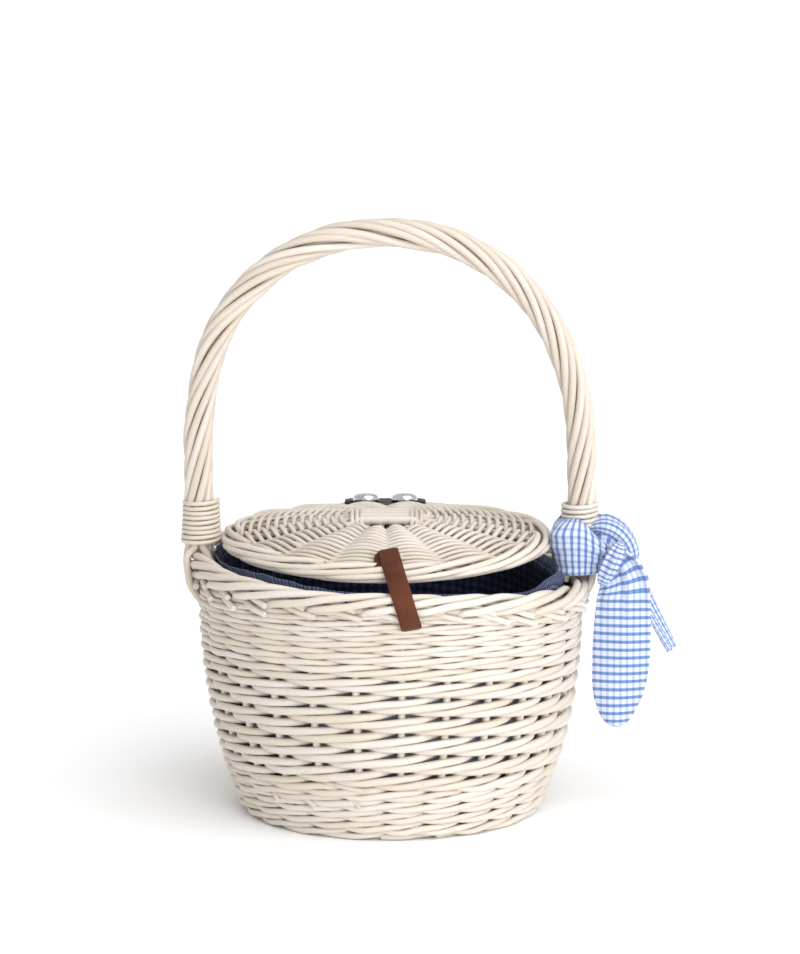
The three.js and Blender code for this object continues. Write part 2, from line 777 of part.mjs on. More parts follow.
function addScarf() {
  const hole = strandSpread + strandThickness / 2 + bindingRod + bindingFlare + clearance;
  const halfX = hole + scarfWrapThickness + scarfWrapSide;
  const halfY = hole + 2 * scarfWrapThickness - clearance;
  const band = new THREE.Shape();
  band.absellipse(scarfWrapSide, 0, halfX, halfY, 0, 2 * Math.PI, false, 0);
  const inside = new THREE.Path();
  inside.absellipse(0, 0, hole, hole, 0, 2 * Math.PI, true, 0);
  band.holes.push(inside);
  const wrap = new THREE.ExtrudeGeometry(band, {
    depth: scarfWrapHeight,
    bevelEnabled: false,
    curveSegments: 14,
  });
  const scarf = new THREE.Group();
  scarf.name = "scarf";
  scarf.position.set(handleHalfSpan, 0, scarfWrapBottom);
  basketBag.add(scarf);
  addPiece("scarf_wrap", wrap, checkedCotton, scarf);

  // The knot sits against the wrap, in front and outwards
  const knot = new THREE.SphereGeometry(0.5, 10, 6);
  knot.rotateX(Math.PI / 2);
  knot.scale(knotSize.x, knotSize.y, knotSize.z);
  const wrapReach = 1 / Math.hypot(Math.cos(knotAngle) / halfX, Math.sin(knotAngle) / halfY);
  const knotReach = wrapReach + knotSize.x / 2 + clearance;
  const knotX = scarfWrapSide + knotReach * Math.cos(knotAngle);
  const knotY = knotReach * Math.sin(knotAngle);
  knot.translate(knotX, knotY, knotSize.z / 2 - knotDrop);

  // The loop stands up from the knot and turns back round the wrap
  const loop = loopRoute.map(
    ([out, back, below]) => new THREE.Vector3(halfX + out, knotY + back, scarfWrapHeight - below),
  );
  const loopEnd = loop[loop.length - 1];
  const loopCurve = new THREE.CatmullRomCurve3(loop);
  const loopPoints = loopCurve.getPoints(8);
  const loopFacing = loopPoints.map(() => new THREE.Vector3(1, -1, 0).normalize());
  const loopShape = rodSection(loopSection.thickness, loopSection.width, 6);
  const loopSolid = sweep(loopShape, loopPoints, loopFacing);
  const knotted = toSolid(knot).add(toSolid(loopSolid));
  addPiece("scarf_knot", toGeometry(knotted), checkedCotton, scarf);

  // The broad tail hangs beside the bowl with its folds running down from the knot
  const front = clothSheet(
    (u, v) => {
      const opened = Math.min(1, 0.4 + 3.2 * v);
      const toTip = Math.max(0, (v + frontTail.round - 1) / frontTail.round);
      const rounded = Math.sqrt(Math.max(0.02, 1 - toTip ** 2));
      const lean = 3.6 + 7.5 * Math.min(1, 2.4 * v) - 7 * Math.max(0, v - 0.6);
      const x = knotX + lean + (u - 0.5) * frontTail.width * opened * rounded;
      const fold = frontTail.foldDepth * Math.sin(2 * Math.PI * frontTail.folds * u);
      const y = knotY - 1 + fold * (1 - 0.75 * v);
      return new THREE.Vector3(x, y, frontTail.top - v * frontTail.length);
    },
    12,
    10,
    scarfCloth,
  );
  addPiece("scarf_tail_front", front, checkedCotton, scarf);

  // The narrow tail hangs from behind the loop and slants outwards
  const back = clothSheet(
    (u, v) => {
      const opened = Math.min(1, 0.7 + 0.9 * v);
      const x = loopEnd.x + backTail.slant * v + (u - 0.5) * backTail.width * opened;
      const fold = backTail.foldDepth * Math.sin(2 * Math.PI * backTail.folds * u);
      const lowered = 4 * (0.5 - u) + v * backTail.length;
      return new THREE.Vector3(x, loopEnd.y + fold * (1 - 0.5 * v) + 1, backTail.top - lowered);
    },
    6,
    6,
    scarfCloth,
  );
  addPiece("scarf_tail_back", back, checkedCotton, scarf);
}

addFootWale();
addBase();
addStakes();
addSideWeave();
addBorder();
addLining();
addHandleCore();
addHandleStrands();
addCollarBinding("collar_binding_left", -1);
addCollarBinding("collar_binding_right", 1);
addLid();
addHinge();
addStrap();
addScarf();

export default basketBag;
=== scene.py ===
import math

import bpy
import numpy as np
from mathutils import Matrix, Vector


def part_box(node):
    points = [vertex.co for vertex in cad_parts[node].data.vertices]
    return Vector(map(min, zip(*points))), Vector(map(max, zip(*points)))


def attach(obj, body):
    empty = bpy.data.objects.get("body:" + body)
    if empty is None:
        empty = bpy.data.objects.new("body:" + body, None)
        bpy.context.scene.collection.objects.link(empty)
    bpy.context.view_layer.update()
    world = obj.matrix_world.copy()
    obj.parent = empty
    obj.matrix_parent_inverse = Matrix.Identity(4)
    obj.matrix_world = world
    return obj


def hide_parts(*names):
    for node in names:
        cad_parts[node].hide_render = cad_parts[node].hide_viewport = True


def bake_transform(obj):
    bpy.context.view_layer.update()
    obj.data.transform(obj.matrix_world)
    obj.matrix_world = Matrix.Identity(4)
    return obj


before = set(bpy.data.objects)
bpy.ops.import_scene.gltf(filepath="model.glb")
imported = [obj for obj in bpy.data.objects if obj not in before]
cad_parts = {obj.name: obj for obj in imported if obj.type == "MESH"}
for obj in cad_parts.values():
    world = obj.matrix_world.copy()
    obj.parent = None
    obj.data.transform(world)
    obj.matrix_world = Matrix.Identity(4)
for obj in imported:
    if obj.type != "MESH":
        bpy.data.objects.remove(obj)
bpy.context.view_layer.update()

MM = 0.001
TURN = 2 * math.pi

# Bowl
STAKES = 25
FOOT_RADIUS = 84.2
TOP_RADIUS = 113.5
WALL_HEIGHT = 142.0
SIDE_DIP = 0.047
STAKE = 4.9
# Heights at the front of the gaps between the rows of side weave
ROWS = [
    -9, -1.5, 6, 13.5, 21, 28, 35.5, 47, 60, 73,
    85.5, 97.5, 108, 116.5, 124, 131, 137.5, 144, 151,
]
# Rod thickness in the row above each gap
ROW_RODS = [
    3.8, 3.9, 4.0, 4.0, 4.0, 4.1, 4.6, 5.05, 5.05, 4.95,
    4.8, 4.5, 4.2, 4.0, 3.8, 3.6, 3.5, 3.4, 3.4,
]
# The gaps step down by this many rows in a turn, so the weave needs fewer, longer rods
ROW_STEPS = 4
# A rod's way past three stakes, and how far out of the stakes' middle it lies there
WEAVE_PHASE = [0, 0.5, 1, 1.5, 2, 2.5, 3]
WEAVE_REACH = [-0.85, 0.42, 0.97, 1.0, 0.94, 0.34, -0.85]
WEAVE_LOW, WEAVE_HIGH = 2.2, 144.5
# The lowest rods' middles stay this share of their thickness above the floor
FLOOR_SHARE = 0.57
STAKE_OUT = 1.5
WALE_RADIUS = 86.8
WALE_HEIGHT = 3.5
WALE_ROD = 3.5
CUT_ROD = 3.6
BORDER_END_RISE = 4.2
LINING_INSET = 7.1
# Where the lining's hem stands up over the border: height, place round the mouth and spread
HEM_RIGHT = (11.0, 0.936, 0.03)
HEM_LEFT = (4.2, 0.625, 0.055)

# Lid
SPOKES = 16
LID_HEIGHT = 167.0
LID_EDGE = 98.0
LID_CROWN = 14.0
LID_ROD = 2.9
LID_SPOKE = 3.4
LID_ROW = 2.65
SLATH_HALF = 17.0
SLATH_SPACING = 8.4
LID_STRETCH = 1.005
LID_SHIFT = -2.3

# Handle
HALF_SPAN = 118.9
LEG_TOP = 233.0
RISE = 130.3
ARCH_FULLNESS = 2.12
ARCH_LEAN = 3.1
# The arch's left side is flatter by this much, round this height, over this spread
LEFT_FLAT = (2.1, 266, 32)
COLLAR_FOOT = 166.0
COLLAR_LIFT = {-1: 1.6, 1: -0.6}
COLLAR_INSET = 1.5
COLLAR_TURNS = 9
COLLAR_PITCH = 3.02
COLLAR_ROD = 2.75
STRANDS = 8
STRAND = 4.9
STRAND_SPREAD = 6.75
STRAND_TURNS = 3.5
HEART = 7.2
HEART_FOOT = 160.0

# Hinge, strap and rivets
HINGE_AXIS = (105.5, 171.2)
HINGE_OFFSET = -3.4
HINGE_WIDTH = 51.0
HINGE_LEATHER = 2.5
# How far back the rivets stand
LID_RIVETS = 83.0
BOWL_RIVETS = 129.2
STRAP_WIDTH = 12.3
STRAP_LEATHER = 2.0

# Picture
PICTURE_HEIGHT = 954
MM_PER_PIXEL = 0.62
WORLD_LIGHT = 0.68


# ---------------- finishes
def rgb(text):
    parts = [int(text[i : i + 2], 16) / 255 for i in (1, 3, 5)]
    line = [p / 12.92 if p <= 0.04045 else ((p + 0.055) / 1.055) ** 2.4 for p in parts]
    return (*line, 1.0)


def feed(tree, socket, value):
    """Gives a socket what another node puts out, a colour written as #rrggbb, or a constant."""
    value = getattr(value, "socket", value)
    if isinstance(value, bpy.types.Node):
        value = value.outputs[0]
    if isinstance(value, bpy.types.NodeSocket):
        tree.links.new(value, socket)
    else:
        is_color = isinstance(value, str) and value.startswith("#")
        socket.default_value = rgb(value) if is_color else value


def new_node(tree, kind, settings=None, values=None):
    node = tree.nodes.new(kind)
    for name, setting in (settings or {}).items():
        setattr(node, name, setting)
    for key, value in (values or {}).items():
        feed(tree, node.inputs[key], value)
    return node


class Value:
    """A number that varies over a surface. Arithmetic on it adds Math nodes."""

    def __init__(self, finish, socket):
        self.finish = finish
        self.socket = socket

    def math(self, operation, *others):
        values = dict(enumerate((self,) + others))
        return self.finish.add("ShaderNodeMath", {"operation": operation}, values)

    def __add__(self, other):
        return self.math("ADD", other)

    def __mul__(self, other):
        return self.math("MULTIPLY", other)

    __rmul__ = __mul__

    def __sub__(self, other):
        return self.math("SUBTRACT", other)

    def __rsub__(self, other):
        return self.finish.add("ShaderNodeMath", {"operation": "SUBTRACT"}, {0: other, 1: self})


class Finish:
    """A material built from nodes."""

    def __init__(self, name):
        self.material = bpy.data.materials.new(name)
        self.material.use_nodes = True
        self.tree = self.material.node_tree
        self.tree.nodes.clear()
        self.shader = self.tree.nodes.new("ShaderNodeBsdfPrincipled")
        out = self.tree.nodes.new("ShaderNodeOutputMaterial")
        self.tree.links.new(self.shader.outputs[0], out.inputs[0])

    def add(self, kind, settings=None, values=None, output=0):
        return Value(self, new_node(self.tree, kind, settings, values).outputs[output])

    def attribute(self, name, output="Fac"):
        return self.add("ShaderNodeAttribute", {"attribute_name": name}, output=output)

    def spot(self):
        return self.add("ShaderNodeTexCoord", output="Object")

    def part(self, vector, k):
        return self.add("ShaderNodeSeparateXYZ", None, {0: vector}, output=k)

    def noise(self, vector, scale, detail, roughness=0.55):
        values = {"Vector": vector, "Scale": scale, "Detail": detail, "Roughness": roughness}
        return self.add("ShaderNodeTexNoise", None, values)

    def step(self, value, low, high, to_low=0.0, to_high=1.0):
        values = {0: value, 1: low, 2: high, 3: to_low, 4: to_high}
        return self.add("ShaderNodeMapRange", {"interpolation_type": "SMOOTHSTEP"}, values)

    def mix(self, factor, a, b):
        return self.add("ShaderNodeMix", {"data_type": "RGBA"}, {0: factor, 6: a, 7: b}, output=2)

    def stretched(self, vector, x, y, z):
        settings = {"operation": "MULTIPLY"}
        return self.add("ShaderNodeVectorMath", settings, {0: vector, 1: (x, y, z)})

    def bump(self, height, strength, distance):
        values = {"Strength": strength, "Distance": distance, "Height": height}
        return self.add("ShaderNodeBump", None, values)

    def set(self, **values):
        for name, value in values.items():
            feed(self.tree, self.shader.inputs[name.replace("_", " ")], value)


def willow_finish(name, light, warm, shade):
    """Peeled willow: long grain, a tint for each rod, a few brown specks and leaf scars."""
    finish = Finish(name)
    grain = finish.attribute("grain", "Vector")
    tint = finish.attribute("tint")
    fine = finish.noise(finish.stretched(grain, 1.6, 1.6, 26.0), 3.2, 4.0, 0.6)
    broad = finish.noise(finish.stretched(grain, 0.5, 0.5, 30.0), 1.0, 2.0)
    streaks = finish.step(fine, 0.42, 0.68)
    color = finish.mix(finish.step(tint, 0.0, 1.0), light, warm)
    color = finish.mix(finish.step(broad, 0.46, 0.74) * 0.5, color, warm)
    color = finish.mix(streaks * 0.22, color, shade)
    specks = finish.noise(finish.stretched(grain, 1.3, 1.3, 190.0), 2.3, 2.0, 0.5)
    mark = finish.step(specks, 0.715, 0.79)
    color = finish.mix(mark * 0.75, color, "#8a5a38")
    rough = finish.step(fine, 0.3, 0.7, 0.4, 0.56)
    height = fine * 0.6 + broad * 0.4 - mark * 0.5
    normal = finish.bump(height, 0.28, 0.0006)
    finish.set(Base_Color=color, Roughness=rough, Normal=normal)
    return finish.material


def leather_finish(name, base, worn, dark, roughness):
    """Leather: mottled colour, fine pebbled grain, a little wear."""
    finish = Finish(name)
    place = finish.spot()
    mottle = finish.noise(place, 55.0, 4.0, 0.6)
    wear = finish.noise(place, 160.0, 3.0, 0.7)
    cells = finish.add(
        "ShaderNodeTexVoronoi",
        {"feature": "DISTANCE_TO_EDGE"},
        {"Vector": place, "Scale": 1500.0, "Randomness": 1.0},
    )
    color = finish.mix(finish.step(mottle, 0.35, 0.68), base, dark)
    color = finish.mix(finish.step(wear, 0.56, 0.78) * 0.4, color, worn)
    rough = finish.step(mottle, 0.3, 0.7, roughness, roughness + 0.14)
    height = finish.step(cells, 0.0, 0.12) + wear * 0.5
    normal = finish.bump(height, 0.32, 0.0003)
    finish.set(Base_Color=color, Roughness=rough, Normal=normal, Specular_IOR_Level=0.3)
    return finish.material


def gingham_finish(name, ground, along, across, both, period, weights, sheen, hem=None):
    """Checked cotton: stripes both ways that darken where they cross, on the cloth's own map."""
    finish = Finish(name)
    place = finish.add("ShaderNodeUVMap", {"uv_map": "UVMap"})
    u, v = finish.part(place, 0), finish.part(place, 1)

    def stripe(value, pitch, duty):
        wave = (value * (TURN / pitch)).math("SINE")
        edge = math.cos(math.pi * duty)
        return finish.step(wave, edge - 0.16, edge + 0.16)

    column = stripe(u, period[0], weights[2])
    row = stripe(v, period[1], weights[3])
    color = finish.mix(column * weights[0], ground, along)
    color = finish.mix(row * weights[1], color, across)
    color = finish.mix(column * row * 0.85, color, both)
    if hem:
        # Painted light: the side towards the weave is lightened up to this height as if lit through
        # the gaps, and the hem above it is painted paler as if lit
        lit_side_end, lit_side_start = 0.203, 0.198
        spot, facing = finish.spot(), finish.add("ShaderNodeTexCoord", output="Normal")
        outward = [finish.part(spot, k) * finish.part(facing, k) for k in (0, 1)]
        outward = finish.step(outward[0] + outward[1], 0.02, 0.05)
        painted_weave_light = outward * finish.step(v, lit_side_end, lit_side_start) * 0.8
        color = finish.mix(painted_weave_light, color, "#b9c1d6")
        # Painted highlight: the hem's pale checks stand in for light falling on the hem
        pale = finish.mix(stripe(u, 0.0027, 0.5), "#a3b1d3", "#1f2b55")
        edge = 1 - 0.8 * finish.step(v, hem + 0.0016, hem + 0.002)
        color = finish.mix(finish.step(v, hem, hem + 0.0006) * edge, color, pale)
    fibre = finish.noise(place, 2600.0, 2.0, 0.7)
    color = finish.mix(finish.step(fibre, 0.35, 0.75) * 0.25, color, ground)
    thread = 0.00042
    warp = (u * (TURN / thread)).math("SINE")
    weft = (v * (TURN / thread)).math("SINE")
    height = warp * weft * 0.5 + fibre
    normal = finish.bump(height, 0.35, 0.00012)
    rough = finish.step(fibre, 0.2, 0.8, 0.82, 0.95)
    finish.set(Base_Color=color, Roughness=rough, Normal=normal)
    finish.set(Sheen_Weight=sheen, Sheen_Roughness=0.5)
    return finish.material


def chrome_finish(name):
    """Polished plate with faint smears."""
    finish = Finish(name)
    place = finish.spot()
    smear = finish.noise(place, 240.0, 3.0, 0.6)
    color = finish.mix(finish.step(smear, 0.4, 0.7), "#dfe3e8", "#bcc2cb")
    rough = finish.step(smear, 0.35, 0.75, 0.05, 0.16)
    finish.set(Base_Color=color, Metallic=1.0, Roughness=rough)
    return finish.material


def floor_finish(name):
    finish = Finish(name)
    place = finish.spot()
    cloud = finish.noise(place, 3.0, 2.0)
    color = finish.mix(finish.step(cloud, 0.3, 0.7), "#fbfbfa", "#fefefe")
    finish.set(Base_Color=color, Roughness=0.85)
    return finish.material


WILLOW = willow_finish("peeled_willow", "#dcd5cc", "#d4c9ba", "#bca891")
PALE_WILLOW = willow_finish("pale_willow", "#dad2c8", "#d1c5b6", "#b8a28a")
DARK_LEATHER = leather_finish("dark_hinge_leather", "#3b231b", "#5a3a2c", "#2a1712", 0.42)
BROWN_LEATHER = leather_finish("brown_strap_leather", "#5d2c13", "#6e391d", "#4c240f", 0.58)
CHROME = chrome_finish("polished_rivet")
# The lining's check is darkened below the cloth's own colours as painted shade for the shadowed
# inside of the basket
# Ground, stripes along, stripes across, crossings, stripe periods, weights and widths, sheen
SHADE_DARKENED_CHECK = gingham_finish(
    "navy_check_cotton", "#475270", "#1c2750", "#182247", "#0b1128",
    (0.0054, 0.0054), (0.85, 0.85, 0.5, 0.5), 0.05, hem=0.2105,
)
BLUE_CHECK = gingham_finish(
    "blue_check_cotton", "#cdd3e2", "#99aed7", "#5479b8", "#3d61a4",
    (0.004, 0.0051), (0.8, 0.95, 0.38, 0.4), 0.1,
)


# ---------------- meshes from rules
def settle(piece, finish=None):
    """Makes what a piece's modifiers show into its own mesh."""
    graph = bpy.context.evaluated_depsgraph_get()
    made = bpy.data.meshes.new_from_object(piece.evaluated_get(graph))
    piece.modifiers.clear()
    old = piece.data
    piece.data = made
    bpy.data.meshes.remove(old)
    made.name = piece.name
    if finish:
        made.materials.clear()
        made.materials.append(finish)
        made.shade_smooth()
    return piece


class Nodes:
    """A Geometry Nodes tree with a short way to add nodes."""

    def __init__(self, name, inputs):
        self.tree = bpy.data.node_groups.new(name, "GeometryNodeTree")
        face = self.tree.interface
        face.new_socket(name="Geometry", in_out="OUTPUT", socket_type="NodeSocketGeometry")
        face.new_socket(name="Geometry", in_out="INPUT", socket_type="NodeSocketGeometry")
        self.keys = {}
        for label, kind in inputs.items():
            socket = face.new_socket(name=label, in_out="INPUT", socket_type=kind)
            self.keys[label] = socket.identifier
        self.entry = self.tree.nodes.new("NodeGroupInput")
        self.exit = self.tree.nodes.new("NodeGroupOutput")

    def add(self, kind, settings=None, values=None):
        return new_node(self.tree, kind, settings, values)

    def given(self, label):
        return self.entry.outputs[label]

    def named(self, kind, name):
        settings = {"data_type": kind}
        return self.add("GeometryNodeInputNamedAttribute", settings, {"Name": name})

    def end(self, geometry):
        real = self.add("GeometryNodeRealizeInstances", None, {0: geometry})
        values = {0: real, "Material": self.given("Finish")}
        painted = self.add("GeometryNodeSetMaterial", None, values)
        self.tree.links.new(painted.outputs[0], self.exit.inputs[0])

    def apply(self, piece, **inputs):
        modifier = piece.modifiers.new("shape", "NODES")
        modifier.node_group = self.tree
        for label, value in inputs.items():
            modifier[self.keys[label]] = value
        return settle(piece)


def rod_nodes():
    """Sweeps a round rod along each path. Paths carry a radius, a length so far and a tint."""
    nodes = Nodes("willow_rods", {"Sides": "NodeSocketInt", "Finish": "NodeSocketMaterial"})
    path = nodes.add("GeometryNodeMeshToCurve", None, {0: nodes.given("Geometry")})
    values = {"Resolution": nodes.given("Sides"), "Radius": 1.0}
    circle = nodes.add("GeometryNodeCurvePrimitiveCircle", None, values)
    spot = nodes.add("GeometryNodeInputPosition")
    keep = nodes.add("GeometryNodeCaptureAttribute", None, {0: circle})
    keep.capture_items.new("VECTOR", "spot")
    nodes.tree.links.new(spot.outputs[0], keep.inputs["spot"])
    values = {"Curve": path, "Profile Curve": keep, "Fill Caps": True}
    values["Scale"] = nodes.named("FLOAT", "rod_radius")
    rod = nodes.add("GeometryNodeCurveToMesh", None, values)
    split = nodes.add("ShaderNodeSeparateXYZ", None, {0: keep.outputs["spot"]})
    values = {0: split.outputs[0], 1: split.outputs[1], 2: nodes.named("FLOAT", "along")}
    grain = nodes.add("ShaderNodeCombineXYZ", None, values)
    store = nodes.add(
        "GeometryNodeStoreNamedAttribute",
        {"data_type": "FLOAT_VECTOR", "domain": "POINT"},
        {"Geometry": rod, "Name": "grain", "Value": grain},
    )
    smooth = nodes.add("GeometryNodeSetShadeSmooth", None, {0: store})
    nodes.end(smooth)
    return nodes


RODS = rod_nodes()


def in_scene(name, data):
    thing = bpy.data.objects.new(name, data)
    bpy.context.scene.collection.objects.link(thing)
    return thing


def new_piece(name, points, edges=(), faces=()):
    mesh = bpy.data.meshes.new(name)
    mesh.from_pydata(np.asarray(points) * MM, edges, faces)
    return in_scene(name, mesh)


def through(controls, steps):
    """A smooth path through control rows, steps samples to each gap."""
    c = np.asarray(controls, float)
    c = np.vstack([2 * c[0] - c[1], c, 2 * c[-1] - c[-2]])
    t = np.linspace(0, 1, steps, endpoint=False)[:, None]
    rows = []
    for a, b, d, e in zip(c[:-3], c[1:-2], c[2:-1], c[3:]):
        bend = 2 * b + (d - a) * t + (2 * a - 5 * b + 4 * d - e) * t**2
        rows.append(0.5 * (bend + (3 * b - a - 3 * d + e) * t**3))
    rows.append(c[-2:-1])
    return np.vstack(rows)


def around(radius, angle, height):
    return np.stack([radius * np.cos(angle), radius * np.sin(angle), height], axis=-1)


class Bundle:
    """Collects paths and turns them into one piece of rods."""

    def __init__(self, seed):
        self.chance = np.random.default_rng(seed)
        self.paths = []

    def add(self, points, thickness, taper=None, tint=None):
        points = np.asarray(points, float)
        radius = np.full(len(points), thickness / 2)
        if taper is not None:
            radius = radius * taper
        tint = self.chance.uniform(0, 1) if tint is None else tint
        self.paths.append((points, radius, tint))

    def build(self, name, sides, finish):
        points, edges, radii, alongs, tints = [], [], [], [], []
        count = 0
        for line, radius, tint in self.paths:
            steps = np.linalg.norm(np.diff(line, axis=0), axis=1)
            along = np.concatenate([[0], np.cumsum(steps)]) * MM + self.chance.uniform(0, 9)
            edges += [(count + i, count + i + 1) for i in range(len(line) - 1)]
            count += len(line)
            points.append(line)
            radii.append(radius * MM)
            alongs.append(along)
            tints.append(np.full(len(line), tint))
        piece = new_piece(name, np.vstack(points), edges)
        for label, values in (("rod_radius", radii), ("along", alongs), ("tint", tints)):
            attribute = piece.data.attributes.new(label, "FLOAT", "POINT")
            attribute.data.foreach_set("value", np.concatenate(values).astype(np.float32))
        return RODS.apply(piece, Sides=sides, Finish=finish)

    def make(self, name, sides, finish, body, *nodes):
        slot = "willow" if finish is WILLOW else "pale_willow"
        place(self.build(name, sides, finish), body, slot, *nodes)


def place(piece, body, slot, *nodes):
    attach(piece, body)
    if nodes:
        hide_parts(*nodes)
    return piece


# ---------------- bowl
def wall_radius(height):
    height = np.asarray(height)
    left = 1 - height / WALL_HEIGHT
    full = 3.2 * np.exp(-height / 60) * (1 - np.exp(-np.maximum(height, 0) / 4))
    return FOOT_RADIUS + (TOP_RADIUS - FOOT_RADIUS) * (1 - left * np.abs(left)) + full


def wall_slope(height):
    return wall_radius(height + 0.5) - wall_radius(height - 0.5)


def dipped(height, angle):
    """The mouth dips at the right handle foot and stays up at the left, and the rows follow it."""
    sideways = np.cos(angle)
    bend = np.where(sideways > 0, 1 - 2 * sideways**2, 1 + 0.25 * sideways**2)
    return height * (1 + SIDE_DIP * bend)


def on_wall(angle, height, offset):
    stretch = np.hypot(1, wall_slope(height))
    radius = wall_radius(height) + offset / stretch
    level = height - offset * wall_slope(height) / stretch
    return around(radius, angle, dipped(level, angle))


STAKE_ANGLE = TURN / STAKES
# Heights are measured at the front, where the mouth's lie raises them by this much
FRONT_LIFT = dipped(1.0, -TURN / 4)

# Cut rod ends low on the front left: turn from the front in degrees and height, start and end
CUT_ENDS = [
    (-24.0, 38.5, -8.2, 36.0),
    (-15.5, 29.4, -10.5, 26.0),
    (-34.5, 28.8, -27.4, 23.4),
    (-47.5, 27.4, -43.2, 23.2),
]


def side_weave():
    """Rods that each pass before two stakes and behind one, climbing as they go round."""
    bundle = Bundle(3)
    number = np.arange(len(ROWS))
    climb = 1 / 3 - ROW_STEPS / STAKES
    long = int(len(ROWS) / climb)
    for rod in range(STAKES - 3 * ROW_STEPS):
        s = np.arange(0, 2 * long + 24) / 2 - 16
        t = np.mod(s - rod, 3)
        share = (s - rod) / 3 - ROW_STEPS * s / STAKES + 4
        low = np.floor(share + 1e-9)
        rise = np.interp(low, number, np.diff(ROWS, append=ROWS[-1] + 7))
        thick = np.interp(share, number, ROW_RODS)
        half = 0.5 * thick / rise
        even = 0 * half
        spots = [even, 1 / 6 + even, 0.5 - half, 0.5 + even, 0.5 + half, 5 / 6 + even]
        base = (s - rod) / 3 - t / 3
        part = np.choose(np.round(2 * t).astype(int) % 6, spots)
        share = base + part - ROW_STEPS * s / STAKES + 4
        height = np.interp(share, number, ROWS) / FRONT_LIFT
        inside = (share > 0) & (height > WEAVE_LOW) & (height < WEAVE_HIGH)
        height = height + bundle.chance.normal(0, 0.2, len(s))
        offset = (STAKE + thick) / 2 * np.interp(t, WEAVE_PHASE, WEAVE_REACH) - 0.1
        controls = np.stack([s, height, offset, thick], axis=1)[inside]
        path = through(controls, 4)
        points = on_wall(path[:, 0] * STAKE_ANGLE, path[:, 1], path[:, 2])
        # The lowest rods rest on the floor
        points[:, 2] = np.maximum(points[:, 2], FLOOR_SHARE * path[:, 3])
        # Each willow shoot lasts about a quarter of a turn and ends behind a stake
        behind = np.nonzero(np.mod(np.round(8 * path[:, 0]) - 8 * rod, 24) == 0)[0]
        cuts = np.unique(np.concatenate([[0], behind[1::2], [len(path) - 1]]))
        for a, b in zip(cuts[:-1], cuts[1:]):
            swell = 1 + 0.04 * np.sin(path[a : b + 1, 0] * 1.7 + rod * 2.1)
            taper = np.linspace(1.07, 0.97, b + 1 - a) * swell
            bundle.add(points[a : b + 1], 1.0, path[a : b + 1, 3] * taper)
    for turn, low, to_turn, high in CUT_ENDS:
        angle = math.radians(-90) + np.radians(np.linspace(turn, to_turn, 6))
        height = np.linspace(low, high, 6) / FRONT_LIFT
        taper = np.linspace(0.75, 1.0, 6)
        offset = (STAKE + 4.2) / 2 + np.linspace(-2.0, 2.2, 6)
        bundle.add(on_wall(angle, height, offset), CUT_ROD, taper, tint=0.9)
    bundle.make("side_rods", 8, WILLOW, "bowl", "side_weave")


def stakes():
    """The upright sticks, from the foot up into the border."""
    bundle = Bundle(5)
    for i in range(STAKES):
        height = np.linspace(8.2, WALL_HEIGHT + 2, 14)
        points = on_wall(np.full(14, i * STAKE_ANGLE), height, np.full(14, STAKE_OUT))
        bundle.add(points, STAKE * bundle.chance.uniform(0.94, 1.04))
    nodes = [f"stake_{i + 1:02d}" for i in range(STAKES)]
    bundle.make("upright_stakes", 10, PALE_WILLOW, "bowl", *nodes)


# The border's strokes, each from the stake that it bends from: place in stake spaces, radius
# and height at the front. The long stroke climbs the outside, crosses the top and goes down
# inside. Two cut ends come out under it.
BORDER_STROKE = [
    (-0.14, 113.4, 140), (-0.06, 115, 146), (0.1, 119.4, 149.6), (0.38, 121.7, 151.4),
    (0.9, 122.3, 154.6), (1.45, 121.2, 157.6), (2.05, 118.2, 159.7), (2.65, 114.4, 158.8),
    (3.3, 111.4, 155), (3.9, 110.3, 150.4), (4.3, 110.8, 146.6),
]
BORDER_UPPER_END = [
    (-1.1, 112.6, 152.4), (-0.7, 116, 151.4), (-0.35, 119.4, 149.6), (-0.04, 121.9, 147.4),
]
BORDER_LOWER_END = [
    (-0.95, 113.8, 148.4), (-0.55, 117.6, 146.4), (-0.2, 120.4, 144.2), (0.12, 121.9, 142),
]


def strokes(bundle, shapes, count, steps, shake, raised=None):
    """A plait: the same strokes from each stake or spoke, each a little out of true."""
    for i in range(count):
        for shape, shift, size in shapes:
            controls = np.array(shape)
            controls[:, 0] += i + shift + bundle.chance.normal(0, shake[0])
            controls[1:-1, 1:] += bundle.chance.normal(0, shake[1], controls[1:-1, 1:].shape)
            path = through(controls, steps)
            angle = path[:, 0] * TURN / count
            height = raised(shape, path[:, 2], angle) if raised else path[:, 2]
            points = around(path[:, 1], angle, height)
            bundle.add(points, size * bundle.chance.uniform(0.92, 1.06))


def border():
    """The plaited border of the mouth."""
    bundle = Bundle(7)
    shapes = [(BORDER_STROKE, 0, 4.9), (BORDER_UPPER_END, 0, 4.0), (BORDER_LOWER_END, 0, 3.7)]

    def raised(shape, height, angle):
        if shape is not BORDER_STROKE:
            # The cut ends come out higher at the front
            height = height + BORDER_END_RISE * np.clip((-np.sin(angle) - 0.72) / 0.22, 0, 1)
        return dipped(height / FRONT_LIFT, angle)

    strokes(bundle, shapes, STAKES, 5, (0.07, 0.3), raised)
    bundle.make("plaited_border", 10, WILLOW, "bowl", "border")


def foot():
    """A three-rod wale round the foot."""
    bundle = Bundle(11)
    steps = STAKES * 8
    for rod in range(3):
        angle = np.linspace(0, TURN, steps + 1) * (1 - 0.002)
        wrap = angle * STAKES / 3 + TURN * rod / 3
        radius = WALE_RADIUS + 2.3 * np.cos(wrap)
        height = WALE_HEIGHT + 1.6 * np.sin(wrap)
        bundle.add(around(radius, angle, height), WALE_ROD)
    bundle.make("foot_rope", 8, WILLOW, "bowl", "foot_wale")


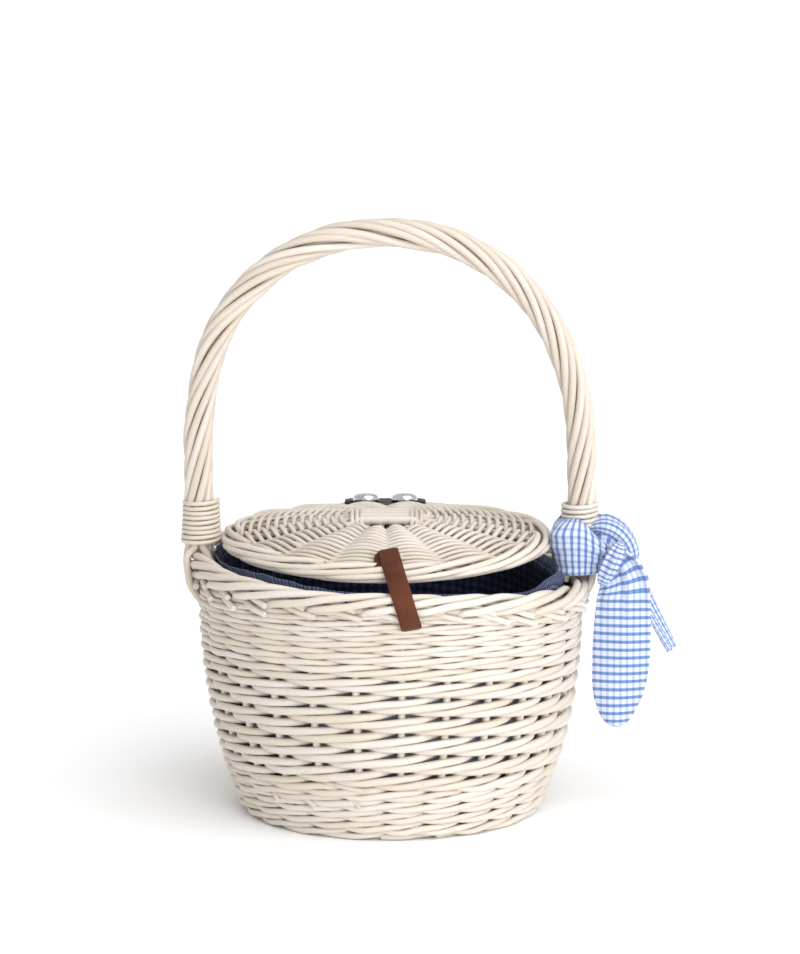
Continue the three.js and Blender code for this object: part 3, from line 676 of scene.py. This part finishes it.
def spokes_bundle(bundle, sticks, spacing, thick, thin, half, fan, reach, height):
    """Two crossed sets of sticks that fan out as spokes, flat and wide where they cross."""
    step = TURN / sticks
    side = sticks // 4
    for turn, layer in ((0.0, 1), (TURN / 4, -1)):
        for i in range(side):
            spot = i - (side - 1) / 2
            angle = spot * step
            out = [
                (reach * math.cos(angle), reach * math.sin(angle), 0.0),
                (0.65 * reach * math.cos(angle), 0.65 * reach * math.sin(angle), 0.0),
                (fan * math.cos(angle), fan * math.sin(angle), 0.1 * layer * thick),
                (half, spot * spacing, 0.42 * layer * thick),
                (0.4 * half, spot * spacing, 0.45 * layer * thick),
            ]
            back = [(-x, y, z) for x, y, z in reversed(out)]
            path = through(np.array(out + back), 5)
            x = path[:, 0] * math.cos(turn) - path[:, 1] * math.sin(turn)
            y = path[:, 0] * math.sin(turn) + path[:, 1] * math.cos(turn)
            far = np.hypot(path[:, 0], path[:, 1])
            size = np.interp(far, [0, half, fan, reach], [thick, thick, 0.8 * thick, thin])
            points = np.stack([x, y, height(np.hypot(x, y)) + path[:, 2]], axis=1)
            bundle.add(points, 1.0, size, tint=0.15 + 0.1 * bundle.chance.uniform())


def flat_weave(bundle, spokes, start, end, row, rod, swing, height, slope, wobble):
    """Two weavers, each over one spoke and under the next, row by row outwards."""
    for weaver in range(2):
        turns = (end - start - row * weaver) / (2 * row)
        s = np.arange(0, int(turns * spokes) + 1)
        radius = start + row * weaver + 2 * row * s / spokes
        radius = radius + bundle.chance.normal(0, wobble, len(s))
        lift = np.where((s + weaver) % 2 == 0, swing, -swing)
        path = through(np.stack([s + 0.0, radius, lift], axis=1), 6)
        lean = slope(path[:, 1])
        stretch = np.hypot(1, lean)
        angle = (path[:, 0] + 0.5) * TURN / spokes
        out, up = path[:, 2] * lean / stretch, path[:, 2] / stretch
        points = around(path[:, 1] + out, angle, height(path[:, 1]) + up)
        cuts = np.linspace(0, len(points) - 1, 7).astype(int)
        for a, b in zip(cuts[:-1], cuts[1:]):
            bundle.add(points[a : b + 1], rod * bundle.chance.uniform(0.95, 1.05))


def base():
    """The base: crossed sticks and their weave, raised a little in the middle."""
    centre, push, edge = 6.9, 3.0, 88.3

    def height(radius):
        return centre + push * (1 - (radius / edge) ** 2)

    def slope(radius):
        return 2 * push * radius / edge**2

    bundle = Bundle(13)
    sizes = dict(sticks=16, spacing=9.5, thick=5.2, thin=4.2, half=17.0, fan=27.0, reach=83.5)
    spokes_bundle(bundle, height=height, **sizes)
    bundle.make("base_spokes", 8, PALE_WILLOW, "bowl", "base_sticks")
    bundle = Bundle(17)
    sizes = dict(spokes=16, start=27.0, end=81.0, row=3.9, rod=3.7, swing=3.6, wobble=0.15)
    flat_weave(bundle, height=height, slope=slope, **sizes)
    bundle.make("base_rods", 7, WILLOW, "bowl", "base_weave")


# ---------------- cloth
def sheet_piece(name, surface, columns, rows, chart, finish, thickness, closed, smooth=1):
    """Cloth from a function of its place across and down. The map keeps the cloth's own size:
    the chart is that size, or a function that gives each point's place on it."""
    points, maps, faces = [], [], []
    across = columns + 1
    for j in range(rows + 1):
        for i in range(across):
            u, v = i / columns, j / rows
            points.append(surface(u, v))
            maps.append(chart(u, v) if callable(chart) else (u * chart[0], v * chart[1]))
            if i < columns and j < rows:
                a = j * across + i
                faces.append((a, a + 1, a + across + 1, a + across))
    piece = new_piece(name, points, (), faces)
    layer = piece.data.uv_layers.new(name="UVMap")
    corners = np.empty(len(piece.data.loops), int)
    piece.data.loops.foreach_get("vertex_index", corners)
    layer.data.foreach_set("uv", (np.array(maps) * MM)[corners].astype(np.float32).ravel())
    if closed:
        piece.modifiers.new("weld", "WELD").merge_threshold = 0.00002
    solid = piece.modifiers.new("thickness", "SOLIDIFY")
    solid.thickness = thickness * MM
    solid.offset = 0
    if smooth:
        piece.modifiers.new("soft", "SUBSURF").levels = smooth
    return settle(piece, finish)


def lining():
    """A cotton cup inside the weave, gathered a little, with its hem on the border's inner edge."""
    profile = [(2.0, 17.2), (40.0, 17.0), (74.0, 16.4), (80.5, 18.6), (83.5, 25.0)]
    profile += [(wall_radius(z) - LINING_INSET, z) for z in (45.0, 70.0, 100.0, 124.0)]
    profile += [(105.6, 136.0), (106.4, 145.0), (107.8, 150.0), (109.6, 152.6)]
    path = through(np.array(profile), 4)
    steps = np.concatenate([[0], np.cumsum(np.linalg.norm(np.diff(path, axis=0), axis=1))])
    tall = steps[-1]

    def surface(u, v):
        angle = TURN * u
        radius = np.interp(v * tall, steps, path[:, 0])
        level = np.interp(v * tall, steps, path[:, 1])
        weight = np.clip((level - 30) / 60, 0, 1)
        ripple = math.sin(angle * 31) + 0.6 * math.sin(angle * 47 + 1)
        radius -= weight * (0.8 + 0.5 * ripple)
        if level > 25:
            level = dipped(level, angle)
        hems = (HEM_LEFT, HEM_RIGHT)
        left, right = (top * math.exp(-(((u - at) / wide) ** 2)) for top, at, wide in hems)
        left *= 1 + 0.08 * math.sin(angle * 37)
        share = max(0.0, (v - 0.9) / 0.1)
        level += (left + right) * share
        radius += (0.2 * left + 0.3 * right) * share
        return (radius * math.cos(angle), radius * math.sin(angle), level)

    chart = (TURN * 108.0, tall)
    piece = sheet_piece("cotton_lining", surface, 224, 44, chart, SHADE_DARKENED_CHECK, 0.7, True, 0)
    place(piece, "bowl", "lining_cotton", "lining")


# ---------------- handle
def bow(count):
    """The handle's centre line at even steps, and its outward direction there."""
    angle = np.linspace(math.pi, 0, 721)
    x = HALF_SPAN * np.sign(np.cos(angle)) * np.abs(np.cos(angle)) ** (2 / ARCH_FULLNESS)
    z = LEG_TOP + RISE * np.sin(angle) ** (2 / ARCH_FULLNESS)
    leg = np.linspace(COLLAR_FOOT, LEG_TOP, 60, endpoint=False)
    x = np.concatenate([np.full(60, -HALF_SPAN), x, np.full(60, HALF_SPAN)])
    z = np.concatenate([leg, z, leg[::-1]])
    rise = np.clip((z - 190) / 125, 0, 1)
    x = x - ARCH_LEAN * rise * rise * (3 - 2 * rise)
    flat, level, extent = LEFT_FLAT
    x = np.where(x < 0, x + flat * np.exp(-(((z - level) / extent) ** 2)), x)
    travelled = np.concatenate([[0], np.cumsum(np.hypot(np.diff(x), np.diff(z)))])
    even = np.linspace(0, travelled[-1], count)
    x, z = np.interp(even, travelled, x), np.interp(even, travelled, z)
    ahead = np.stack([np.gradient(x), np.gradient(z)], axis=1)
    ahead /= np.linalg.norm(ahead, axis=1)[:, None]
    return np.stack([x, 0 * x, z], axis=1), np.stack([-ahead[:, 1], 0 * x, ahead[:, 0]], axis=1)


def strand_tail(side, wrap):
    """Below the collar the outer strands run down outside the border, the others inside it."""
    outer = math.cos(wrap) > 0
    y = STRAND_SPREAD * math.sin(wrap)
    spread = 1.5 * y
    rows = [(HALF_SPAN - 5.6, 1.15 * y, 160.0), (109.8, spread, 152.0)]
    rows += [(108.2, 1.1 * spread, 145.0)]
    if outer:
        rows = [(HALF_SPAN + 7.2, 1.15 * y, 160.0), (125.6, spread, 151.0)]
        rows += [(124.4, 1.1 * spread, 144.0), (120.6, 1.12 * spread, 137.0)]
        rows += [(114.2, 1.15 * spread, 129.5)]
    return [(side * x, y, z) for x, y, z in rows]


def handle():
    """Strands twisted round a heart, with tails that run down into the border and the wall."""
    bundle = Bundle(19)
    steps = 176
    share = np.linspace(0, 1, steps + 1)
    centre, outwards = bow(steps + 1)
    for j in range(STRANDS):
        start = TURN * (j + 0.5) / STRANDS
        ends = np.sin(math.pi * share)
        drift = ends * 0.1 * np.sin(9 * share + 2.3 * j)
        drift = drift + ends * 0.06 * np.sin(23 * share + 1.7 * j)
        wrap = start - TURN * STRAND_TURNS * share + drift
        side = outwards * np.cos(wrap)[:, None]
        side[:, 1] = np.sin(wrap)
        spread = STRAND_SPREAD + 0.35 * ends * np.sin(15 * share + 1.9 * j)
        points = centre + side * spread[:, None]
        left = np.array(strand_tail(-1, start))[::-1]
        right = np.array(strand_tail(1, start - TURN * STRAND_TURNS))
        left = through(np.vstack([left, points[:2]]), 5)[:-6]
        right = through(np.vstack([points[-2:], right]), 5)[6:]
        line = np.vstack([left, points, right])
        bundle.add(line, STRAND * bundle.chance.uniform(0.9, 1.06))
    nodes = [f"handle_strand_{j + 1}" for j in range(STRANDS)]
    bundle.make("handle_strands", 10, PALE_WILLOW, "bowl", *nodes)
    core = Bundle(23)
    line = centre[::4].copy()
    line[0, 2] = line[-1, 2] = HEART_FOOT
    core.add(line, HEART)
    core.make("handle_heart", 10, WILLOW, "bowl", "handle_core")


def collar(name, side, node):
    """A thin rod wound round the handle's foot."""
    bundle = Bundle(29 + side)
    angle = np.linspace(0, TURN * COLLAR_TURNS, COLLAR_TURNS * 24 + 1)
    share = angle / angle[-1]
    radius = STRAND_SPREAD + STRAND / 2 + COLLAR_ROD / 2 - 0.2 + 1.3 * (1 - share) ** 1.6
    height = COLLAR_FOOT + COLLAR_LIFT[side] + COLLAR_PITCH * COLLAR_TURNS * share
    height = height + 0.16 * np.sin(angle * 1.3 + side)
    points = around(radius, angle, height)
    points[:, 0] += side * (HALF_SPAN - COLLAR_INSET)
    bundle.add(points, COLLAR_ROD)
    bundle.make(name, 9, WILLOW, "bowl", node)


# ---------------- lid
def lid_height(radius):
    return LID_HEIGHT + LID_CROWN * (1 - (np.asarray(radius) / LID_EDGE) ** 2)


def lid_slope(radius):
    return 2 * LID_CROWN * np.asarray(radius) / LID_EDGE**2


def lid_lift(x, y):
    """The lid isn't quite true: it lies a little high in front and curls up at both sides."""
    return 1.0 - 0.018 * y + 3.0 * (x / 100) ** 2


def sprung(bundle):
    """Bends a bundle of the lid's rods to the lid's own lie."""
    for points, _, _ in bundle.paths:
        points[:, 2] += lid_lift(points[:, 0], points[:, 1])
        points[:, 0] = LID_STRETCH * points[:, 0] + LID_SHIFT
    return bundle


# The edge's strokes from spoke to spoke: place in spoke spaces, radius and height
LID_STROKE = [
    (-0.1, 92.5, 166.4), (0.0, 95.5, 164.6), (0.16, 98.8, 164.0), (0.5, 100.0, 164.8),
    (1.0, 100.1, 166.2), (1.6, 99.4, 168.4), (2.1, 97.4, 170.4), (2.6, 94.0, 171.4),
    (2.95, 91.0, 170.4),
]
LID_UNDER = [
    (0.0, 93.0, 163.6), (0.4, 96.6, 162.9), (1.0, 98.6, 163.1), (1.7, 97.6, 163.6),
    (2.2, 94.0, 164.6),
]


def lid():
    """The lid: crossed sticks, their weave and the plaited edge."""
    bundle = Bundle(31)
    sizes = dict(thick=5.6, thin=LID_SPOKE, half=SLATH_HALF, fan=27.0, reach=94.5)
    spokes_bundle(bundle, SPOKES, SLATH_SPACING, height=lid_height, **sizes)
    sprung(bundle).make("lid_spokes", 8, PALE_WILLOW, "lid", "lid_sticks")
    bundle = Bundle(37)
    sizes = dict(row=LID_ROW, rod=LID_ROD, swing=(LID_ROD + LID_SPOKE) / 2, wobble=0.1)
    flat_weave(bundle, SPOKES, 26.0, 94.5, height=lid_height, slope=lid_slope, **sizes)
    # Thin rods bind the crossed sticks at both ends
    for side in (-1, 1):
        for k in range(3):
            x = side * (SLATH_HALF - 1.5 + 2.9 * k)
            y = np.linspace(-1, 1, 13)
            tall = lid_height(np.hypot(x, 19 * y)) + 4.6 - 6.5 * np.abs(y) ** 6
            bundle.add(np.stack([np.full(13, x), (18.5 - 0.8 * k) * y, tall], axis=1), 2.7)
    sprung(bundle).make("lid_rods", 7, WILLOW, "lid", "lid_weave")
    bundle = Bundle(41)
    shapes = [(LID_STROKE, 0.0, 4.0), (LID_UNDER, 0.5, 3.4)]
    strokes(bundle, shapes, SPOKES, 6, (0.05, 0.25))
    sprung(bundle).make("lid_plaited_rim", 9, WILLOW, "lid", "lid_rim")


# ---------------- leather
def strip(name, route, thickness, width, across, finish, columns, sag=None, lean=0.0):
    """A leather strip along a route in the YZ plane, with rounded edges."""
    path = through(np.array([(a, b, c) for (a, b), c in zip(route, across)]), 6)
    ahead = np.gradient(path[:, :2], axis=0)
    ahead /= np.linalg.norm(ahead, axis=1)[:, None]
    normal = np.stack([ahead[:, 1], -ahead[:, 0]], axis=1)
    points, faces = [], []
    half = thickness / 2
    spots = np.linspace(-1, 1, columns + 1)
    top = [(x, 1.0 if abs(x) < 0.999 else 0.45) for x in spots]
    ring = top + [(x, -lift) for x, lift in top[::-1]]
    for k, (y, z, x) in enumerate(path):
        for a, lift in ring:
            out = lift * half + (sag(k / (len(path) - 1), a) if sag else 0.0)
            w = a * width / 2
            points.append((x + w, y + normal[k, 0] * out, z + lean * w + normal[k, 1] * out))
    n = len(ring)
    for k in range(len(path) - 1):
        for i in range(n):
            a, b = k * n + i, k * n + (i + 1) % n
            faces.append((a, a + n, b + n, b))
    faces.append(tuple(range(n)))
    faces.append(tuple(reversed(range((len(path) - 1) * n, len(path) * n))))
    piece = new_piece(name, points, (), faces)
    bevel = piece.modifiers.new("edges", "BEVEL")
    bevel.width = 0.22 * thickness * MM
    bevel.segments = 2
    bevel.limit_method = "ANGLE"
    bevel.angle_limit = math.radians(38)
    return settle(piece, finish)


LID_TOP = (LID_ROD + LID_SPOKE) / 2 + LID_ROD / 2


def lid_top(radius):
    return float(lid_height(radius) + LID_TOP * np.hypot(1, lid_slope(radius)))


def hinge():
    """The pad over the hinge, from the bowl's back up to the lid."""
    axis_y, axis_z = HINGE_AXIS
    route = [
        (125.2, 121.0), (126.4, 129.0), (127.6, 139.0), (128.2, 147.0), (127.0, 154.6),
        (123.8, 160.8), (118.0, 165.4), (112.0, 168.4),
        (axis_y + 1.5, axis_z - 0.9), (axis_y - 1.5, axis_z - 0.2), (98.0, 172.0),
        (90.0, lid_top(90.0) - 1.1), (82.0, lid_top(82.0) - 1.9), (74.0, lid_top(74.0) - 1.4),
    ]
    across = [HINGE_OFFSET] * len(route)

    def sag(share, a):
        """The pad dips between the rivets at its upper end and waves at its lower end."""
        near = max(0.0, 1 - (1 - share) * 9)
        far = max(0.0, (1 - share - 0.86) * 6)
        return -near * 3.0 * math.exp(-((a / 0.4) ** 2)) - far * (0.5 + 0.5 * math.cos(a * 7.2))

    size = (HINGE_LEATHER, HINGE_WIDTH)
    piece = strip("hinge_leather_pad", route, *size, across, DARK_LEATHER, 14, sag)
    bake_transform(piece)
    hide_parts("hinge_flap_lid", "hinge_flap_body")


def rivet_nodes():
    """Stands a shape on each point, turned to the point's own direction."""
    nodes = Nodes("rivets", {"Shape": "NodeSocketObject", "Finish": "NodeSocketMaterial"})
    points = nodes.add("GeometryNodeMeshToPoints", None, {0: nodes.given("Geometry")})
    values = {"Vector": nodes.named("FLOAT_VECTOR", "facing")}
    turn = nodes.add("FunctionNodeAlignRotationToVector", {"axis": "Z"}, values)
    shape = nodes.add("GeometryNodeObjectInfo", None, {"Object": nodes.given("Shape")})
    values = {"Points": points, "Instance": shape.outputs["Geometry"]}
    values["Rotation"] = turn
    copies = nodes.add("GeometryNodeInstanceOnPoints", None, values)
    nodes.end(copies)
    return nodes


RIVETS = rivet_nodes()


def lathe(name, profile, count):
    """A closed turned shape from (radius, height) pairs that start and end on the axis."""
    points = [(0, 0, profile[0][1]), (0, 0, profile[-1][1])]
    rings = profile[1:-1]
    for radius, height in rings:
        for i in range(count):
            angle = TURN * i / count
            points.append((radius * math.cos(angle), radius * math.sin(angle), height))
    faces = []
    last = 2 + (len(rings) - 1) * count
    for i in range(count):
        j = (i + 1) % count
        faces.append((0, 2 + j, 2 + i))
        faces.append((1, last + i, last + j))
        for k in range(len(rings) - 1):
            a = 2 + k * count
            faces.append((a + i, a + j, a + count + j, a + count + i))
    return new_piece(name, points, (), faces)


def rivets():
    """Domed heads: a short brim, a round shoulder and a slightly flattened crown."""
    shoulder = [
        (8.25 * math.cos(a) ** 0.72, 1.1 + 4.1 * math.sin(a) ** 0.86)
        for a in np.linspace(0, TURN / 4, 11)[:-1]
    ]
    profile = [(0, -2.2), (2.4, -2.2), (2.4, 0.0), (8.0, 0.0), (8.25, 0.35), *shoulder, (0, 5.2)]
    shape = lathe("rivet_pattern", profile, 40)
    shape.data.shade_smooth()
    lean = float(lid_slope(LID_RIVETS))
    # How far back, how high and which way: the lower pair keeps the solids' own height
    homes = {
        "lid": ("rivet_lid", LID_RIVETS, lid_top(LID_RIVETS) - 0.8, (0, lean, 1)),
        "bowl": ("rivet_body", BOWL_RIVETS, None, (0, 1.0, -0.1)),
    }
    for body, (stem, y, z, way) in homes.items():
        ends = (stem + "_left", stem + "_right")
        middles = [np.mean(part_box(node), axis=0) / MM for node in ends]
        points = [(x, y, z or up) for x, _, up in middles]
        piece = new_piece("rivets_on_" + body, points)
        attribute = piece.data.attributes.new("facing", "FLOAT_VECTOR", "POINT")
        facing = np.array([way, way]) / np.linalg.norm(way)
        attribute.data.foreach_set("vector", facing.astype(np.float32).ravel())
        RIVETS.apply(piece, Shape=shape, Finish=CHROME)
        piece.data.shade_smooth()
        place(piece, body, "rivets", *ends)
    bpy.data.objects.remove(shape)


def strap():
    """One leather strap: folded back on the lid, over the border and down the front."""
    half = STRAP_LEATHER / 2
    slit, fold = 96.0, 84.5
    step = STRAP_LEATHER + 0.5

    def over_lid(radius, up):
        return (-radius, lid_top(radius) + half + float(lid_lift(0, -radius)) + up * step)

    route = [over_lid(slit, -0.9), over_lid(fold + 1.2, 0.1), over_lid(fold - 0.8, 0.4)]
    route += [over_lid(fold - 0.8, 0.95), over_lid(fold + 1.2, 1.3), over_lid(91.0, 1.15)]
    route += [
        (-97.0, 177.6), (-101.4, 175.2), (-104.8, 172.2), (-109.0, 169.6), (-114.0, 167.4),
        (-119.0, 164.6), (-123.4, 160.4), (-126.2, 154.0), (-126.5, 150.2), (-125.5, 146.2),
        (-123.3, 142.8), (-118.6, 140.4),
    ]
    # The strap runs in a straight line as seen in the photo, down and to the right. This is how
    # far down the picture each place lies, in pixels.
    down = [-0.3484 * y - z / 0.635 for y, z in route]
    slant = 0.19
    across = [-1.5 + slant * (d - down[3]) for d in down]
    across[:3] = [across[4] - 2.6, across[4] - 2.2, across[4] - 1.4]
    route, across, size = route[::-1], across[::-1], (STRAP_LEATHER, STRAP_WIDTH)
    piece = strip("leather_strap", route, *size, across, BROWN_LEATHER, 6, lean=slant)
    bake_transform(piece)
    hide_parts("strap_fold", "strap_tail")


# ---------------- scarf
# Plan of the band round the handle's foot: turn in degrees and distance from the handle's middle
SCARF_PLAN = [
    (0, 17), (45, 15.5), (90, 15), (135, 15.4), (180, 17.6), (198, 19.6), (215, 24.4),
    (230, 29), (246, 28.2), (262, 25), (278, 23.8), (292, 24.6), (306, 25.6), (320, 24),
    (340, 19.6), (360, 17),
]
# The band's swell from its top edge to its turned hem
SCARF_SWELL = [
    (0, 0.05), (0.05, 0.45), (0.12, 0.8), (0.22, 1.0), (0.4, 0.97), (0.58, 0.87), (0.8, 0.7),
    (0.86, 0.62), (0.9, 0.68), (0.96, 0.58), (1, 0.1),
]
# The front end, edge by edge: place along the cloth, left edge and right edge across and up
SCARF_END = [
    (0, 131.1, 151.5, 142.9, 169.7), (8, 130.2, 147, 153.5, 162.1),
    (16, 129.2, 142, 159.7, 151.3), (25, 127.8, 136.7, 161.5, 136.7),
    (41, 126.2, 120.8, 161.5, 120.8), (57, 125.2, 105, 161.2, 105),
    (68, 125.1, 94.2, 160.6, 94.2), (79, 124.9, 83.4, 159, 83.4),
    (89, 126.2, 73.2, 156.2, 73.2), (98, 129.3, 64.3, 151.6, 64.3),
    (103, 132, 59.4, 148.9, 59.4), (106, 134.9, 56.8, 146.3, 56.8),
    (108, 138.2, 55.4, 143.4, 55.4),
]
# The back end's two long edges, from the knot to the slanted hem
SCARF_BACK_EDGES = [
    [(139.0, -12.0, 154.0), (147.0, -2.0, 141.0), (172.7, -2.0, 97.9)],
    [(143.0, 8.0, 160.0), (153.5, 20.0, 151.0), (178.6, 20.0, 98.6)],
]


def scarf():
    """A narrow scarf wound round the handle's foot and tied in front, with a loop and two ends."""
    plan = np.array(SCARF_PLAN, float)
    swell = np.array(SCARF_SWELL, float)
    turns = np.concatenate([plan[:-1, 0] - 360, plan[:-1, 0], plan[:, 0] + 360])
    reach = np.concatenate([plan[:-1, 1], plan[:-1, 1], plan[:, 1]])

    def band(u, v):
        turn = 360 * u
        out = 0.5 * (np.interp(turn - 4, turns, reach) + np.interp(turn + 4, turns, reach))
        knot = math.exp(-(((turn - 312) / 26) ** 2))
        front = math.exp(-(((turn - 250) / 60) ** 2))
        top = 183.5 + 1.5 * front - 11.5 * knot
        bottom = 156.0 - 7.2 * front - 1.5 * knot
        pleat = 0.55 * math.sin(6 * TURN * u + 7 * v)
        pleat += (0.4 + 0.9 * knot) * math.sin(26 * v + 2 * TURN * u)
        radius = 13.6 + (out - 13.6 + pleat) * np.interp(v, swell[:, 0], swell[:, 1])
        angle = math.radians(turn)
        return (
            HALF_SPAN + radius * math.cos(angle),
            radius * math.sin(angle),
            top + (bottom - top) * v + 0.8 * math.sin(3 * angle + 1) * (1 - knot),
        )

    arc = np.radians(np.diff(plan[:, 0])) * (plan[:-1, 1] + plan[1:, 1]) / 2
    girth = np.concatenate([[0], np.cumsum(arc)])

    def band_chart(u, v):
        return (36.0 * v, 1.15 * np.interp(360 * u, plan[:, 0], girth))

    middle = np.array([136.2, -26.5, 160.0])
    lie = np.array([0.42, 0.05, 0.906])
    wide = np.array([0.906, 0.0, -0.42])
    deep = np.array([0.0, -1.0, 0.05])

    def tie(u, v):
        angle = TURN * u
        polar = math.pi * (0.02 + 0.96 * v)
        fold = 1 + 0.15 * math.sin(5 * angle + 2 * v) + 0.07 * math.sin(11 * angle - 3 * v)
        round_ = math.sin(polar) ** 0.7 * fold
        return (
            middle
            + lie * 14.5 * math.cos(polar)
            + wide * 4.9 * round_ * math.cos(angle)
            + deep * 5.4 * round_ * math.sin(angle)
        )

    def ring(size, thick, depth, back, start, end):
        def surface(u, v):
            turn = math.radians(start + (end - start) * v)
            angle = TURN * u
            ends = min(1.0, 0.45 + 2.4 * v, 0.5 + 2.6 * (1 - v))
            fold = 1 + 0.1 * math.sin(5 * angle + 5 * v)
            out = size + thick * ends * fold * math.sin(angle)
            return (
                130.2 + out * math.cos(turn),
                back + depth * ends * math.cos(angle) + 1.2 * math.sin(9 * v),
                160.0 + 1.06 * out * math.sin(turn),
            )

        return surface

    edges = np.array(SCARF_END, float)

    def front(u, v):
        down = 108.0 * v
        tracks = [np.interp(down, edges[:, 0], row) for row in edges.T[1:]]
        left_x, left_z, right_x, right_z = tracks
        gather = math.exp(-down / 14)
        curl = 3.2 * gather * math.sin(17 * u + 0.8) + 1.6 * gather * math.sin(31 * u)
        belly = 3.4 * math.sin(math.pi * u) * (1 - 0.75 * gather)
        return (
            left_x + (right_x - left_x) * u,
            -21.0 - belly + curl + 1.1 * math.sin(down / 21 + 2.4 * u),
            left_z + (right_z - left_z) * u + 2.4 * gather * math.sin(math.pi * u),
        )

    def front_chart(u, v):
        x = front(u, v)[0]
        loose = 36.0 * u
        close = min(1.0, max(0.0, (108.0 * v - 16) / 12))
        return (loose + (x - 125.6 - loose) * close, 108.0 * v)

    def back(u, v):
        near, far = (
            np.array([np.interp(v, [0, 0.25, 1], track) for track in zip(*edge)])
            for edge in SCARF_BACK_EDGES
        )
        x, y, z = near * (1 - u) + far * u
        wave = 15 * u + 2.5 * v
        fall = 1.5 * math.sin(math.pi * u)
        return (x + 1.1 * math.sin(wave), y + 1.4 * math.cos(wave), z - fall)

    def sideways(along, across):
        """A map that runs along the cloth's second direction."""
        return lambda u, v: (along * v, across * u)

    back_chart = sideways(62.0, 52.0)
    loop = ring(18.0, 6.0, 13.5, -4.0, 112, -22)
    fold = ring(10.0, 5.6, 8.6, -9.5, 125, -45)
    # Name, surface, columns, rows, map, thickness, whether it closes on itself, how it is held,
    # flat size and the solid that it stands for
    pieces = [
        ("band", band, 96, 26, band_chart, 0.8, True, "folded", (0.118, 0.036), "wrap"),
        ("tie", tie, 56, 22, (30.0, 58.0), 0.6, True, "folded", (0.029, 0.029), "knot"),
        ("loop", loop, 40, 36, sideways(56.0, 66.0), 0.6, True, "folded", (0.058, 0.048), None),
        ("fold", fold, 36, 24, (40.0, 34.0), 0.6, True, "folded", (0.042, 0.032), None),
        ("front_end", front, 36, 60, front_chart, 0.7, False, "hung", (0.036, 0.108), "tail_front"),
        ("back_end", back, 30, 34, back_chart, 0.7, False, "hung", (0.026, 0.062), "tail_back"),
    ]
    for name, surface, columns, rows, chart, thick, closed, held, flat, node in pieces:
        size = (columns, rows, chart, BLUE_CHECK, thick, closed)
        piece = sheet_piece("scarf_" + name, surface, *size)
        place(piece, "bowl", "scarf_cotton", *(["scarf_" + node] if node else []))


# ---------------- studio
def studio():
    """A pale floor under soft light: an even sky, a wide key at the right and a low fill."""
    corners = [(-4000, -3000, 0), (4000, -3000, 0), (4000, 5000, 0), (-4000, 5000, 0)]
    floor = new_piece("floor", corners, (), [(0, 1, 2, 3)])
    floor.data.materials.append(floor_finish("pale_floor"))
    world = bpy.data.worlds.new("studio")
    bpy.context.scene.world = world
    world.use_nodes = True
    sky = world.node_tree.nodes["Background"]
    sky.inputs[0].default_value = (1.0, 1.0, 1.0, 1.0)
    sky.inputs[1].default_value = WORLD_LIGHT
    bpy.context.scene.view_settings.view_transform = "Standard"

    def light(name, kind, spot, power, tone=(1.0, 1.0, 1.0)):
        data = bpy.data.lights.new(name, kind)
        data.energy = power
        data.color = tone
        lamp = in_scene(name, data)
        way = -np.array(spot)
        flat = math.hypot(way[0], way[1])
        lamp.location = spot
        lamp.rotation_euler = (math.atan2(flat, -way[2]), 0, math.atan2(-way[0], way[1]))
        return data

    light("key", "SUN", (1.0, -1.05, 1.95), 1.85, (0.98, 0.99, 1.02)).angle = math.radians(75)
    fill = light("fill", "AREA", (0.9, -2.2, 0.4), 23)
    fill.shape = "DISK"
    fill.size = 1.2


def camera():
    """The photo's view, from the front and a little above."""
    data = bpy.data.cameras.new("camera")
    eye = in_scene("camera", data)
    bpy.context.scene.camera = eye
    distance = 6.0
    tilt = math.radians(12.5)
    target = np.array([0.0059, 0.0, 0.209])
    spot = target + distance * np.array([0.0, -math.cos(tilt), math.sin(tilt)])
    eye.location = spot
    eye.rotation_euler = (math.pi / 2 - tilt, 0, 0)
    data.sensor_fit = "VERTICAL"
    data.sensor_height = 36.0
    data.lens = 36.0 * distance / (PICTURE_HEIGHT * MM_PER_PIXEL * MM)
    data.clip_start = 0.05


camera()
studio()
side_weave()
stakes()
border()
foot()
base()
lining()
handle()
collar("collar_winding_left", -1, "collar_binding_left")
collar("collar_winding_right", 1, "collar_binding_right")
lid()
hinge()
rivets()
strap()
scarf()
